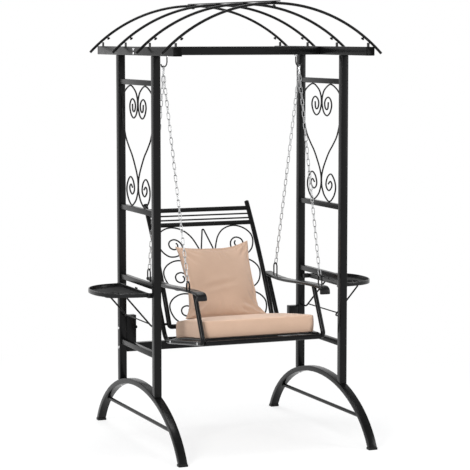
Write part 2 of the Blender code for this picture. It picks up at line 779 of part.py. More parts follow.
def nearest_on_arm_post(sign, point):
    """The point on the centre line of an arm frame's rear post that lies nearest to another."""
    foot = Vector((sign * ARM_X, *REAR_CORNER))
    rise = (Vector((sign * ARM_X, *REAR_TOP)) - foot).normalized()
    return foot + rise * (point - foot).dot(rise)


def make_back_frame(seat):
    """The back's U-shaped tube with its cross rails and the spacers to the arm frames."""
    tip = BACK_TUBE / 2
    rise = [tip + (BACK_HEIGHT - 2 * tip) * i / BACK_STEPS for i in range(1, BACK_STEPS + 1)]
    foot = rounded([back_point(-BACK_X, rise[0]), back_point(-BACK_X, BACK_FOOT_V),
                    back_point(BACK_X, BACK_FOOT_V), back_point(BACK_X, rise[0])], (BACK_CORNER, BACK_CORNER), 4)
    left = [back_point(-BACK_X, v) for v in reversed(rise[1:])]
    right = [back_point(BACK_X, v) for v in rise[1:]]
    bm = bmesh.new()
    add_tube(bm, left + foot + right, round_section(BACK_TUBE, 8), back_normal())
    frame = piece("back_frame", bm, BLACK, seat, round_shape=True)
    bm = bmesh.new()
    for drop, radius, sides in ((TOP_RAIL_DROP, BACK_RAIL, 8), (LOWER_RAIL_DROP, BACK_RAIL, 8),
                                (THIN_RAIL_DROPS[0], THIN_RAIL, 6), (THIN_RAIL_DROPS[1], THIN_RAIL, 6)):
        v = BACK_HEIGHT - drop
        add_rod(bm, back_point(-BACK_X, v), back_point(BACK_X, v), radius, sides)
    for _, sign in SIDES:
        for v in SPACER_VS:
            start = back_point(sign * BACK_X, v)
            goal = nearest_on_arm_post(sign, start)
            end = goal - (goal - start).normalized() * (TUBE + SLOPE_GAP)
            add_rod(bm, start, end, SPACER, 6)
    combine(frame, "rails_and_spacers", bm, "UNION", seat)


def scroll_shares():
    """One back scroll, as shares of the half width inside the back and of the scroll's height."""
    return [(0.0, -0.06), (0.030, 0.12), (0.10, 0.42), (0.19, 0.68), (0.33, 0.88), (0.51, 0.985), (0.69, 0.985),
            (0.864, 0.87), (0.972, 0.68), (0.983, 0.46), (0.92, 0.22), (0.807, 0.06), (0.694, 0.02),
            (0.558, 0.06), (0.456, 0.20), (0.434, 0.36), (0.479, 0.51), (0.581, 0.595), (0.683, 0.56),
            (0.734, 0.46), (0.717, 0.33), (0.637, 0.265), (0.558, 0.31), (0.536, 0.41), (0.565, 0.48)]


def make_back_scrolls(seat):
    """Three rows of mirrored scrolls welded to two upright rods that meet under the lower rail."""
    section = round_section(WIRE, WIRE_SIDES)
    top, foot = BACK_HEIGHT - LOWER_RAIL_DROP - BACK_RAIL - WIRE - GAP, BACK_FOOT_V + BACK_TUBE + 2 * SLOPE_GAP
    knee = BACK_HEIGHT - STEM_KNEE_DROP
    corners = [back_point(-STEM_X, foot), back_point(-STEM_X, knee), back_point(0, top),
               back_point(STEM_X, knee), back_point(STEM_X, foot)]
    bent = rounded(corners, (STEM_BEND, STEM_TIP_BEND, STEM_BEND), 3)
    count = BACK_STEPS - 3
    lower = [foot + (knee - STEM_BEND - foot) * i / count for i in range(count)]
    left = [back_point(-STEM_X, v) for v in lower]
    right = [back_point(STEM_X, v) for v in reversed(lower)]
    bm = bmesh.new()
    add_tube(bm, left + bent[1:-1] + right, section, back_normal())
    scrolls = piece("back_scrollwork", bm, BLACK, seat, round_shape=True)
    bm = bmesh.new()
    far = BACK_X - BACK_TUBE - WIRE - 2 * SLOPE_GAP
    pitch = (BACK_HEIGHT - SCROLL_TOP_DROP - SCROLL_FOOT_V) / SCROLL_ROWS
    for row in range(SCROLL_ROWS):
        low = BACK_HEIGHT - SCROLL_TOP_DROP + SCROLL_GAP - (row + 1) * pitch
        flat = [(STEM_X + across * (far - STEM_X), low + up * (pitch - SCROLL_GAP), 0)
                for across, up in scroll_shares()]
        path = even(smooth(flat, 6), SCROLL_SAMPLES)
        for way in (-1, 1):
            spots = [(way * min(spot.x, far), max(spot.y, foot + 3 * WIRE / 2)) for spot in path]
            add_tube(bm, [back_point(x, v) for x, v in spots], section, back_normal())
    combine(scrolls, "scrolls", bm, "UNION", seat)


# Cushions
def corner_outline(half_x, half_y, radius, draw, per_corner=4, per_side=5):
    """A rectangle with round corners whose sides draw in between them."""
    points = []
    for k, (sx, sy) in enumerate(((1, 1), (-1, 1), (-1, -1), (1, -1))):
        for i in range(per_corner):
            angle = math.pi / 2 * (k + i / (per_corner - 1))
            points.append(Vector((sx * (half_x - radius) + radius * math.cos(angle),
                                  sy * (half_y - radius) + radius * math.sin(angle))))
        ahead = ((-1, 1), (-1, -1), (1, -1), (1, 1))[k]
        outward = Vector((math.cos(math.pi / 2 * (k + 1)), math.sin(math.pi / 2 * (k + 1))))
        end = Vector((ahead[0] * (half_x - radius), ahead[1] * (half_y - radius))) + outward * radius
        start = points[-1]
        for i in range(1, per_side + 1):
            share = i / (per_side + 1)
            points.append(start.lerp(end, share) - outward * draw * math.sin(math.pi * share))
    return points


def cushion_base(y):
    return seat_rail_top(y) - SEAT_RAIL + seat_rail_flat() + SLOPE_GAP


def make_seat_cushion(seat):
    """A boxed cushion: rounded edges, crowned top and sides that draw in, on the curve of the seat rails."""
    outline = corner_outline(CUSHION_HALF, CUSHION_DEPTH / 2, CUSHION_CORNER, CUSHION_DRAW)
    middle_y = CUSHION_FRONT_Y + CUSHION_DEPTH / 2
    round_share = CUSHION_ROUND / CUSHION_THICK
    layers = [(share, 0.0, 0.0) for share in (0.08, 0.25, 0.42, 0.60, 0.79)]
    for low, turn in ((round_share, -1), (1 - round_share, 1)):
        for i in range(4):
            angle = math.pi / 2 * (i / 3 if turn > 0 else 1 - i / 3)
            layers.append((1.0, CUSHION_ROUND * (1 - math.cos(angle)), low + turn * round_share * math.sin(angle)))
    layers += [(0.78, 0.0, 1.0), (0.55, 0.0, 1.0), (0.30, 0.0, 1.0), (0.08, 0.0, 1.0)]
    rings = []
    for size, inset, level in layers:
        ring = []
        for spot in outline:
            flat = spot * size * (1 - inset / spot.length)
            y = middle_y + flat.y
            crown = CUSHION_CROWN * (1 - size ** 2) if level == 1.0 else 0
            ring.append(Vector((flat.x, y, cushion_base(y) + level * CUSHION_THICK + crown)))
        rings.append(ring)
    bm = bmesh.new()
    add_rings(bm, rings)
    piece("seat_cushion", bm, FABRIC, seat, round_shape=True)


def pillow_rest(y):
    """Height of the seat cushion's crowned top, with a gap, where the pillow stands on it."""
    if y > CUSHION_FRONT_Y + CUSHION_DEPTH:
        return 0
    return cushion_base(y) + CUSHION_THICK + CUSHION_CROWN + SLOPE_GAP


def pillow_shares():
    """Left side, right side and top of the cover, across and up from its middle in half sides.

    Its four corners stand out as ears, the top sags between them, and the bottom is straight.
    """
    left = [(-1.078, -1.018), (-0.958, -0.943), (-0.903, -0.655), (-0.868, -0.364), (-0.853, 0.055),
            (-0.871, 0.354), (-0.888, 0.697), (-0.940, 0.938)]
    right = [(0.960, -1.018), (0.792, -0.798), (0.836, -0.463), (0.850, -0.167), (0.864, 0.134), (0.896, 0.520),
             (0.952, 0.824), (0.980, 1.019)]
    top = [(-0.940, 0.938), (-0.783, 0.896), (-0.428, 0.857), (0.090, 0.815), (0.379, 0.840), (0.685, 0.911),
           (0.868, 0.982), (0.980, 1.019)]
    return left, right, top


def pillow_spot(s, t):
    """Place of a point of the cover, across and up, between its four edges."""
    left, right, top = pillow_shares()
    low, high = (1 - t) / 2, (1 + t) / 2
    near, far = (1 - s) / 2, (1 + s) / 2
    up_left, up_right = left[0][1] * low + left[-1][1] * high, right[0][1] * low + right[-1][1] * high
    over = top[0][0] * near + top[-1][0] * far
    edges = [(near, read_row([(v, x) for x, v in left], up_left), up_left),
             (far, read_row([(v, x) for x, v in right], up_right), up_right),
             (low, left[0][0] * near + right[0][0] * far, left[0][1] * near + right[0][1] * far),
             (high, over, read_row(top, over))]
    corners = [(near * low, *left[0]), (far * low, *right[0]), (near * high, *left[-1]), (far * high, *right[-1])]
    return [sum(spot[0] * spot[k] for spot in edges) - sum(spot[0] * spot[k] for spot in corners) for k in (1, 2)]


def make_back_pillow(seat):
    """A knife-edged square pillow with pointed corners, leaning on the back."""
    tilt = math.radians(PILLOW_ANGLE)
    along = Vector((0, math.sin(tilt), math.cos(tilt)))
    out = Vector((0, -math.cos(tilt), math.sin(tilt)))
    centre = Vector((PILLOW_X, PILLOW_Y, PILLOW_Z))
    steps = [math.sin(math.pi * (i / PILLOW_CELLS - 1 / 2)) for i in range(PILLOW_CELLS + 1)]
    bm = bmesh.new()
    front = []
    for face in (1, -1):
        grid = []
        for i, s in enumerate(steps):
            row = []
            for j, t in enumerate(steps):
                if face < 0 and (i in (0, PILLOW_CELLS) or j in (0, PILLOW_CELLS)):
                    row.append(front[i][j])
                    continue
                across, up = pillow_spot(s, t)
                swell = ((1 - s ** 2) * (1 - t ** 2)) ** PILLOW_PUFF_POWER * PILLOW_THICK / 2
                spot = centre + X_AXIS * (across * PILLOW_HALF) + along * (up * PILLOW_HALF) + out * (face * swell)
                spot.z = max(spot.z, pillow_rest(spot.y))
                row.append(bm.verts.new(spot))
            grid.append(row)
        front = front or grid
        for i in range(PILLOW_CELLS):
            for j in range(PILLOW_CELLS):
                bm.faces.new((grid[i][j], grid[i + 1][j], grid[i + 1][j + 1], grid[i][j + 1]))
    piece("back_pillow", bm, FABRIC, seat, round_shape=True)


# Trays
def tray_edge():
    """Distance of a tray's inner edge from the middle of the stand."""
    return POST_X + POST / 2 + TRAY_CLEAR


def ear_end():
    """Distance of the ears' outer faces from the tray's middle."""
    return POST_Y - POST / 2 - TRAY_CLEAR


def add_tray_slab(bm, sign, inset, low, high):
    """A straight inner edge and a broad curve outwards, drawn in by an inset."""
    outline = []
    for i in range(25):
        angle = math.pi * (i / 24 - 1 / 2)
        c, s = max(math.cos(angle), 0), math.sin(angle)
        size = (c ** TRAY_ROUND_POWER + abs(s) ** TRAY_ROUND_POWER) ** (-1 / TRAY_ROUND_POWER)
        outline.append((max((TRAY_REACH - inset) * c * size, inset), (TRAY_HALF_LENGTH - inset) * s * size))
    rings = [[Vector((sign * (tray_edge() + out), y, z)) for out, y in outline] for z in (low, high)]
    add_rings(bm, rings)


def make_tray(side, sign, hinge):
    floor = TRAY_TOP - TRAY_RIM
    edge = tray_edge()
    bm = bmesh.new()
    add_tray_slab(bm, sign, 0.0, floor, TRAY_TOP)
    tray = piece(side + "_tray", bm, BLACK, hinge)
    cup = Vector((sign * (edge + CUP_REACH), CUP_Y, 0))
    bottom = floor - CUP_DEPTH
    bm = bmesh.new()
    add_rod(bm, cup + Z_AXIS * bottom, cup + Z_AXIS * (floor + TRAY_FLOOR / 2), CUP_RADIUS + TRAY_WALL, 20)
    combine(tray, "cup_wall", bm, "UNION", hinge)
    bm = bmesh.new()
    for _, way in ENDS:
        add_box(bm, (sign * (TRAY_HINGE_X - EAR_HALF_HEIGHT), way * (TRAY_HALF_LENGTH - EAR_OVERLAP),
                     TRAY_HINGE_Z - EAR_HALF_HEIGHT),
                (sign * (edge + EAR_OVERLAP), way * ear_end(), TRAY_HINGE_Z + EAR_HALF_HEIGHT))
    combine(tray, "ears", bm, "UNION", hinge)
    bm = bmesh.new()
    add_box(bm, (sign * (edge + TRAY_WALL / 4), LUG_Y - LUG_LENGTH / 2, TRAY_TOP - LUG_HEIGHT),
            (sign * (edge + LUG_WIDTH), LUG_Y + LUG_LENGTH / 2, TRAY_TOP + LUG_HEIGHT))
    combine(tray, "stop_lug", bm, "UNION", hinge)
    bm = bmesh.new()
    add_tray_slab(bm, sign, TRAY_WALL, floor + TRAY_FLOOR, TRAY_TOP + 2 * LUG_HEIGHT)
    combine(tray, "pocket", bm, "DIFFERENCE", hinge)
    bm = bmesh.new()
    add_rod(bm, cup + Z_AXIS * (bottom + TRAY_FLOOR), cup + Z_AXIS * TRAY_TOP, CUP_RADIUS, 20)
    combine(tray, "cup", bm, "DIFFERENCE", hinge)
    bm = bmesh.new()
    for _, way in ENDS:
        start = Vector((sign * TRAY_HINGE_X, way * (ear_end() - EAR_THICK), TRAY_HINGE_Z))
        end = Vector((sign * TRAY_HINGE_X, way * (ear_end() + EAR_THICK), TRAY_HINGE_Z))
        add_rod(bm, start, end, PIN_RADIUS + PIN_CLEAR, 10)
    combine(tray, "pin_bores", bm, "DIFFERENCE", hinge)


def make_prop(side, sign, pivot):
    """A bent wire: pivot stubs in the posts, a cross wire, and two legs up to the tray."""
    floor = TRAY_TOP - TRAY_RIM
    tip = Vector((sign * (PROP_X + PROP_REACH), 0, floor - SLOPE_GAP))
    foot = Vector((sign * PROP_X, 0, PROP_Z))
    lean = (tip - foot).normalized()
    normal = lean.cross(Y_AXIS).normalized()
    bm = bmesh.new()
    for way in (-1, 1):
        stub = foot + Y_AXIS * way * (POST_Y - POST / 2 - GAP)
        knee = foot + Y_AXIS * way * PROP_HALF
        end = tip + Y_AXIS * way * PROP_HALF - lean * PROP_WIRE
        add_tube(bm, rounded((stub, knee, end), (PROP_BEND,), 4), round_section(PROP_WIRE, 6), normal)
    prop = piece(side + "_tray_prop", bm, BLACK, pivot, round_shape=True)
    bm = bmesh.new()
    start = foot + lean * (PROP_BEND + PROP_WIRE)
    add_rod(bm, start - Y_AXIS * PROP_HALF, start + Y_AXIS * PROP_HALF, CROSS_WIRE, 6)
    combine(prop, "cross_wire", bm, "UNION", pivot)


def make_trays():
    for side, sign in SIDES:
        make_tray(side, sign, axis_empty(side + "_tray_axis", (sign * TRAY_HINGE_X, 0, TRAY_HINGE_Z)))
        make_prop(side, sign, axis_empty(side + "_prop_axis", (sign * PROP_X, 0, PROP_Z)))
        for end, way in ENDS:
            start = Vector((sign * TRAY_HINGE_X, way * (POST_Y - POST / 2 - GAP), TRAY_HINGE_Z))
            tip = Vector((sign * TRAY_HINGE_X, way * (ear_end() - EAR_THICK + GAP), TRAY_HINGE_Z))
            bm = bmesh.new()
            add_rod(bm, start, tip, PIN_RADIUS, 10)
            piece(f"{side}_{end}_tray_pin", bm, STEEL, round_shape=True)


def build():
    clear_scene()
    make_arches()
    make_end_frames()
    make_scroll_panels()
    make_top_beams()
    make_rear_beam()
    make_roof()
    make_hooks()
    make_trays()
    seat = axis_empty("seat_swing_axis", (0, HOOK_Y, HOOK_BOTTOM_Z + HOOK_ROD))
    make_chains(seat)
    make_chair_sides(seat)
    make_seat_frame(seat)
    make_back_frame(seat)
    make_back_scrolls(seat)
    make_seat_cushion(seat)
    make_back_pillow(seat)


build()
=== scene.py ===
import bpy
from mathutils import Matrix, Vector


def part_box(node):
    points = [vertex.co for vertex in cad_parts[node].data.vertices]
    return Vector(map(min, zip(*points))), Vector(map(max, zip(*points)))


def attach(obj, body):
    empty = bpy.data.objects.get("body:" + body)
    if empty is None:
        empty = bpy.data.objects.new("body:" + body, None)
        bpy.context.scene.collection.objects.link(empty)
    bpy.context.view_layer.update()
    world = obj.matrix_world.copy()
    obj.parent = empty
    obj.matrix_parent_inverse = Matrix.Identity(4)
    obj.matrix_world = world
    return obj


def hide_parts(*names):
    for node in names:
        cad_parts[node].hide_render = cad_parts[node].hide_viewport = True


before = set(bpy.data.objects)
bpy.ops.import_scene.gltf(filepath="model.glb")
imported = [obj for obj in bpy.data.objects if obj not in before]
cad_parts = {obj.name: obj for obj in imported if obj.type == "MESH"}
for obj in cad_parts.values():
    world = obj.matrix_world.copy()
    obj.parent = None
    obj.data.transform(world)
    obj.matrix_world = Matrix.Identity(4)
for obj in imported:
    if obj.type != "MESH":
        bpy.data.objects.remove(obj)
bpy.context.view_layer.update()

import math

import bmesh
import bpy
import numpy as np
from mathutils import Matrix, Vector
from mathutils.bvhtree import BVHTree

# Hanging chair with its stand. Lengths are in metres, X is the width, the chair faces -Y.

SIDES = (("left", -1), ("right", 1))
ENDS = (("front", -1), ("rear", 1))
X_AXIS, Y_AXIS, Z_AXIS = Vector((1, 0, 0)), Vector((0, 1, 0)), Vector((0, 0, 1))

# Stand
POST, POST_X, POST_Y = 0.035, 0.469, 0.242
RAIL, UPPER_RAIL_Z, PANEL_RAIL_Z = 0.025, 1.6905, 1.0975
BEAM, BEAM_TOP, BEAM_LENGTH = 0.040, 1.855, 1.046
BOW_LIFT, BOW_RISE, BOW_HALF_SPAN, BOW_TUBE, BOW_INSET = 0.0301, 0.1655, 0.535, 0.0063, 0.023
WIRE, WIRE_GAP_SHARE = 0.0037, 0.9
BRACKET_WIDTH = 0.048
# How far the edges of square tubes are eased, then what counts as one point, as flat and as an edge
POST_EASE, RAIL_EASE, BEAM_EASE, ARCH_EASE, CAP_EASE = 0.0030, 0.0022, 0.0016, 0.0028, 0.0018
CROSSBEAM_EASE, LOWER_BEAM_EASE, RIDGE_EASE = 0.0030, 0.0018, 0.0012
MERGE_GAP, FLAT_ANGLE, EASE_ANGLE, SHARP_ANGLE = 0.00002, 1.0, 50.0, 35.0
# The end plug of a top beam: how far each ring lies out and how far in from the beam's faces
PLUG_CORNER = 0.003
PLUG_RINGS = ((-0.002, 0.0006), (0.0002, -0.0002), (0.0018, -0.0002), (0.0026, 0.0008), (0.0026, 0.0040),
              (0.0020, 0.0048))

# Hooks and chains
HOOK_ROD, HOOK_X, HOOK_Y, HOOK_BOTTOM_Z = 0.003, 0.3456, -0.008, 1.757
HOOK_SHANK, HOOK_BEND_HEIGHT = 0.018, 0.030
LINK_WIRE, LINK_HALF_WIDTH, LINK_COUNT = 0.0019, 0.0064, 33
END_LINK, END_HALF_WIDTH, CHAIN_SHIFT = 0.047, 0.0066, 0.0026
HOOK_AIR, LOOP_AIR = 0.0012, 0.0004

# Trays
TRAY_TOP, TRAY_RIM, TRAY_EASE = 0.732, 0.018, 0.0012
PROP_X, PROP_Z, PROP_HALF, PROP_REACH, PROP_BEND = 0.4685, 0.575, 0.168, 0.1205, 0.010
TRAY_EDGE, TRAY_REACH, TRAY_HALF_LENGTH, TRAY_ROUND_POWER, TRAY_LIP = 0.4895, 0.212, 0.200, 2.4, 0.0026
PROP_WIRE, CROSS_WIRE, TRAY_STEPS = 0.0040, 0.0031, 96

# Chair
TUBE, ARM_X = 0.011, 0.300
REAR_CORNER, FRONT_CORNER = (0.0931, 0.4556), (-0.3986, 0.5169)
REAR_TOP, FRONT_TOP = (0.2435, 0.7072), (-0.2950, 0.7168)
REAR_BEND, FRONT_BEND = 0.070, 0.018
ARMREST_X, ARMREST_WIDTH, ARMREST_THICK = 0.3072, 0.050, 0.015
ARMREST_REAR_Y, ARMREST_LENGTH, ARMREST_LOW_Z, ARMREST_RISE = 0.285, 0.6790, 0.7200, 0.0220
ARMREST_END, ARMREST_END_EASE, NOSE_POINTS = 0.0045, 0.003, 30
ARMREST_SIDES, ARMREST_SQUARE, ARMREST_FLAT = 32, 0.45, 0.65
CREASE_PLACE, CREASE_WIDTH, CREASE_DEPTH = 0.0310, 0.0016, 0.0022
LOOP_X, LOOP_TOP, LOOP_HALF_WIDTH, LOOP_ROD = 0.3320, 0.792, 0.019, 0.0034
LOOP_SHARES = (0.8410, 0.0677)
SEAT_RAIL, SEAT_REAR_Y, SEAT_REAR_Z, SEAT_DEPTH, SEAT_RISE = 0.010, 0.052, 0.4732, 0.3766, 0.0544
SLAT_EASE = 0.0008
BACK_X, BACK_TUBE, BACK_BOTTOM_Y, BACK_BOTTOM_Z = 0.2695, 0.0115, 0.1274, 0.5223
BACK_ANGLE, BACK_HEIGHT, BACK_BOW, BACK_CORNER, BACK_FOOT_V = 31.1, 0.652, 0.019, 0.012, -0.004
BACK_SIDE_V, BACK_TOP_SHARE = 0.02, 0.35
# The back's cross rails: how far up the back, and radius
RAIL_VS = ((0.6125, 0.011), (0.534, 0.011), (0.582, 0.004), (0.559, 0.004))
SCROLL_ROWS, SCROLL_PITCH, SCROLL_HEIGHT, SCROLL_TOP_V = 3, 0.177, 0.160, 0.5197
STEM_X, STEM_KNEE_V, STEM_BEND, STEM_TIP = 0.030, 0.405, 0.020, 0.005
SPACER, SPACER_VS = 0.006, (0.190, 0.012)

# Fasteners: for each head its sides and its (radius, height) pairs
HEADS = {
    "hexagon": (6, ((0.0062, 0.0), (0.0066, 0.0004), (0.0066, 0.0042), (0.0058, 0.0050))),
    "dome": (20, ((0.0075, 0.0), (0.0074, 0.0012), (0.0062, 0.0030), (0.0040, 0.0043), (0.0012, 0.0048))),
    "washer": (24, ((0.0095, 0.0), (0.0095, 0.0012))),
    "shank": (16, ((0.0040, 0.0), (0.0040, 0.0088), (0.0032, 0.0096))),
    "knob": (16, ((0.0030, 0.0), (0.0030, 0.0030), (0.0060, 0.0034), (0.0060, 0.0072), (0.0048, 0.0084))),
}
# Where they sit, and their sizes as shares of their heads
BEAM_BOLT_ZS, BRACKET_BOLT_ZS = (1.8437, 1.8249), (0.5103, 0.4165)
ARM_BOLTS, ARM_BOLT_SINK = ((0.0082, 0.4662), (-0.3444, 0.5102)), 0.93
SCREW_X, SCREW_SINK, SCREW_SIZE = 0.448, 0.9, 1.25
ARCH_BOLT_SIZE, KNOB_SIZE = 1.1, 1.2

# Seat cushion
CUSHION_HALF, CUSHION_DEPTH, CUSHION_FRONT_Y, CUSHION_THICK = 0.282, 0.388, -0.353, 0.080
CUSHION_EASE, CUSHION_CORNER, CUSHION_CROWN, CUSHION_DRAW = 0.008, 0.036, 0.011, 0.003
CUSHION_LEAST_CORNER, CUSHION_WALL, CUSHION_MIDDLE, CROWN_POWER = 0.004, 0.002, 0.194, 2.5
# How far in each ring of the flat underside and of the crowned top lies
CUSHION_INSETS = (0.186, 0.165, 0.14, 0.115, 0.09, 0.065, 0.045, 0.028, 0.017)
CUSHION_AIR, PILLOW_AIR = 0.0006, 0.001
SEAM_SHARE, SEAM_INSET, SEAM_CORD = 0.55, 0.0033, 0.0010

# Pillow
PILLOW_HALF, PILLOW_THICK = 0.200, 0.136
PILLOW_X, PILLOW_Y, PILLOW_Z, PILLOW_ANGLE = 0.001, 0.1565, 0.736, 36.0
FRONT_DOME_POWER, BACK_DOME_POWER = 0.50, 0.42
FRONT_DOME_SHARE, BACK_DOME_SHARE, FILLING_SAG = 1.04, 0.93, 0.05
CREASE_START, CREASE_RIDGE, CREASE_RIDGE_PLACE, SEAM_STEEP = 0.15, 0.6, 1.9, 40
# The cloth simulation: its pressure and how far it may move a point
PILLOW_PRESSURE, PILLOW_GIVE, EAR_STIFFNESS, TINY = 3.0, 0.010, 0.6, 1e-9
CLOTH_QUALITY, CLOTH_FRAMES, CLOTH_MASS, CLOTH_STRETCH, CLOTH_SHEAR, CLOTH_BEND = 6, 20, 0.25, 18, 6, 0.4
PILLOW_BACK_SHARE, PILLOW_SLIDE_FROM, PILLOW_SLIDE = 0.49, 0.45, 0.024
# The pillow's bottom seam cord: its radius, and how far out and down from the seam it lies; its dark brown is
# painted shadow, standing for the contact shadow under the pillow
PAINTED_SHADOW_SEAM_RADIUS, PAINTED_SHADOW_SEAM_OUT, PAINTED_SHADOW_SEAM_DOWN = 0.0016, 0.0010, 0.0006

# Finishes: ranges, colours, then patterns per metre, and the height and strength of their bumps
UNIT, BOTH_WAYS, CLOUD_RANGE, PATCH_RANGE = (0.0, 1.0), (-1.0, 1.0), (0.3, 0.7), (0.35, 0.7)
SPECK_RANGE, DUST_LIES, NEARLY_LEVEL, YARN_SHADE = (0.40, 0.75), (0.2, 0.95), (0.5, 0.9), (0.0, 0.35)
PURE_WHITE, DUST_COLOUR, CLOUD_TINT = (1.0, 1.0, 1.0), (0.30, 0.29, 0.27), (0.93, 0.92, 0.91)
COAT_GRAIN, COAT_DUST, GLOSS_CLOUDS, DUST_SPECKS, PEEL_HEIGHT = 700.0, 0.15, 14.0, 55.0, 0.0004
RUB_MARKS, RUB_PATCHES, MARK_DRAW, MARK_BUMP, MARK_HEIGHT = 900.0, 45.0, 0.12, 0.15, 0.0003
MARK_SMOOTHER, MARK_ROUGHER, DULL_SHARE = 0.07, 0.12, 0.72
YARNS, YARN_RISE, YARN_SLUBS, CLOTH_CLOUDS, WEAVE_BUMP, YARN_HEIGHT = 850.0, 0.8, 160.0, 7.0, 0.35, 0.0004
CLOTH_ROUGH, CLOTH_SPECULAR, SHEEN, SHEEN_ROUGH = 0.92, 0.12, 0.25, 0.5

# Studio: name, place, height of its aim, size and watts of each lamp
LAMPS = (("key", (-3.6, -3.0, 3.3), 0.9, (1.1, 2.2), 148.0),
         ("fill", (3.6, -3.0, 2.2), 0.9, (1.0, 2.2), 55.0),
         ("top", (0.2, 0.4, 4.6), 0.8, (2.2, 1.4), 85.0))
SKY_COLOUR, SKY_STRENGTH = (0.97, 0.985, 1.0), 0.55
SKY_DARKENS, OVERHEAD_GREY = (0.35, 0.85), (0.25, 0.25, 0.25)
FLOOR_HALF, FLOOR_COLOUR, FLOOR_FADES = 30.0, (0.80, 0.80, 0.80, 1), (1.1, 2.6)
FLOOR_GLOW, FLOOR_GLOW_SHARE = 1.14, 0.65
CAMERA_PLACE, CAMERA_DIP, CAMERA_TURN = (-3.4587, -8.4475, 1.9089), 5.9209, 22.3675
FOCAL_PIXELS, PICTURE_PIXELS, SENSOR = 1929.2337, 470, 36.0


# Paths
def smooth(points, steps):
    """A Catmull-Rom curve through the given points."""
    points = [Vector(point) for point in points]
    ends = [2 * points[0] - points[1]] + points + [2 * points[-1] - points[-2]]
    path = []
    for p0, p1, p2, p3 in zip(ends, ends[1:], ends[2:], ends[3:]):
        for k in range(steps):
            t = k / steps
            path.append(0.5 * (2 * p1 + (p2 - p0) * t + (2 * p0 - 5 * p1 + 4 * p2 - p3) * t ** 2
                               + (3 * p1 - p0 - 3 * p2 + p3) * t ** 3))
    return path + [points[-1]]


def rounded(corners, radii, steps=10):
    """A path through corner points with each inner corner rounded to its radius."""
    corners = [Vector(corner) for corner in corners]
    path = [corners[0]]
    for i, radius in enumerate(radii, start=1):
        back = (corners[i - 1] - corners[i]).normalized()
        ahead = (corners[i + 1] - corners[i]).normalized()
        half = back.angle(ahead) / 2
        centre = corners[i] + (back + ahead).normalized() * (radius / math.sin(half))
        first = corners[i] + back * (radius / math.tan(half)) - centre
        final = corners[i] + ahead * (radius / math.tan(half)) - centre
        swing = first.angle(final)
        for k in range(steps + 1):
            share = k / steps
            blend = first * math.sin((1 - share) * swing) + final * math.sin(share * swing)
            path.append(centre + blend / math.sin(swing))
    path.append(corners[-1])
    return path


def read_row(row, x):
    """The second value of a row of pairs at a given first value, along straight lines."""
    row = sorted(row)
    for (x1, y1), (x2, y2) in zip(row, row[1:]):
        if x <= x2 and x2 > x1:
            break
    return y1 + (y2 - y1) * (x - x1) / (x2 - x1)


# Nodes
def add_node(tree, kind, inputs=(), **settings):
    """A node with its settings; each input gets a plain value or the socket that feeds it."""
    node = tree.nodes.new(kind)
    for key, value in settings.items():
        setattr(node, key, value)
    for key, value in inputs:
        if isinstance(value, bpy.types.NodeSocket):
            tree.links.new(value, node.inputs[key])
        else:
            node.inputs[key].default_value = value
    return node


def maths(tree, operation, *terms):
    """The result of one sum, whose terms are numbers or sockets."""
    return add_node(tree, "ShaderNodeMath", enumerate(terms), operation=operation).outputs[0]


def noise_of(tree, place, scale, detail=3.0, roughness=0.55):
    """Noise at a place, with its scale in cells per metre."""
    node = add_node(tree, "ShaderNodeTexNoise", (
        ("Vector", place), ("Scale", scale), ("Detail", detail), ("Roughness", roughness)))
    return node.outputs["Fac"]


def scaled(tree, value, was, now):
    """A value taken from one range to another and kept inside it."""
    node = add_node(tree, "ShaderNodeMapRange", (
        ("Value", value), ("From Min", was[0]), ("From Max", was[1]), ("To Min", now[0]), ("To Max", now[1])))
    return node.outputs["Result"]


def mixed(tree, share, low, high, blend="MIX"):
    """A colour between two, each of them three numbers or a socket."""
    low, high = [end if isinstance(end, bpy.types.NodeSocket) else (*end, 1) for end in (low, high)]
    node = add_node(tree, "ShaderNodeMix", ((0, share), (6, low), (7, high)), data_type="RGBA",
                    blend_type=blend)
    return node.outputs[2]


def part_of(tree, vector, axis):
    """One part of a vector, by the name of its axis."""
    return add_node(tree, "ShaderNodeSeparateXYZ", ((0, vector),)).outputs[axis]


def upward(tree):
    """How far a face looks up: 1 on a level top, 0 on an upright wall."""
    return part_of(tree, tree.nodes.new("ShaderNodeNewGeometry").outputs["Normal"], "Z")


# Shader groups
def new_group(name, numbers, outputs):
    """An empty shader group that reads a place and numbers and puts out values."""
    tree = bpy.data.node_groups.new(name, "ShaderNodeTree")
    tree.interface.new_socket("Place", in_out="INPUT", socket_type="NodeSocketVector")
    for label, value in numbers.items():
        socket = tree.interface.new_socket(label, in_out="INPUT", socket_type="NodeSocketFloat")
        socket.default_value = value
    for label in outputs:
        tree.interface.new_socket(label, in_out="OUTPUT", socket_type="NodeSocketFloat")
    return tree, tree.nodes.new("NodeGroupInput").outputs


def coat_group():
    """Powder coat: fine orange peel, cloudy gloss, and specks of dust on what faces up."""
    tree, given = new_group("powder_coat", {"Grain": COAT_GRAIN, "Dust": COAT_DUST},
                            ("Height", "Gloss", "Dust"))
    place = given["Place"]
    clouds = noise_of(tree, place, GLOSS_CLOUDS, detail=4.0)
    specks = noise_of(tree, place, DUST_SPECKS, detail=5.0, roughness=0.65)
    settled = maths(tree, "MULTIPLY", scaled(tree, upward(tree), DUST_LIES, UNIT),
                    scaled(tree, specks, SPECK_RANGE, UNIT))
    add_node(tree, "NodeGroupOutput", (
        ("Height", noise_of(tree, place, given["Grain"], detail=2.0, roughness=0.5)),
        ("Gloss", scaled(tree, clouds, CLOUD_RANGE, BOTH_WAYS)),
        ("Dust", maths(tree, "MULTIPLY", settled, given["Dust"]))))
    return tree


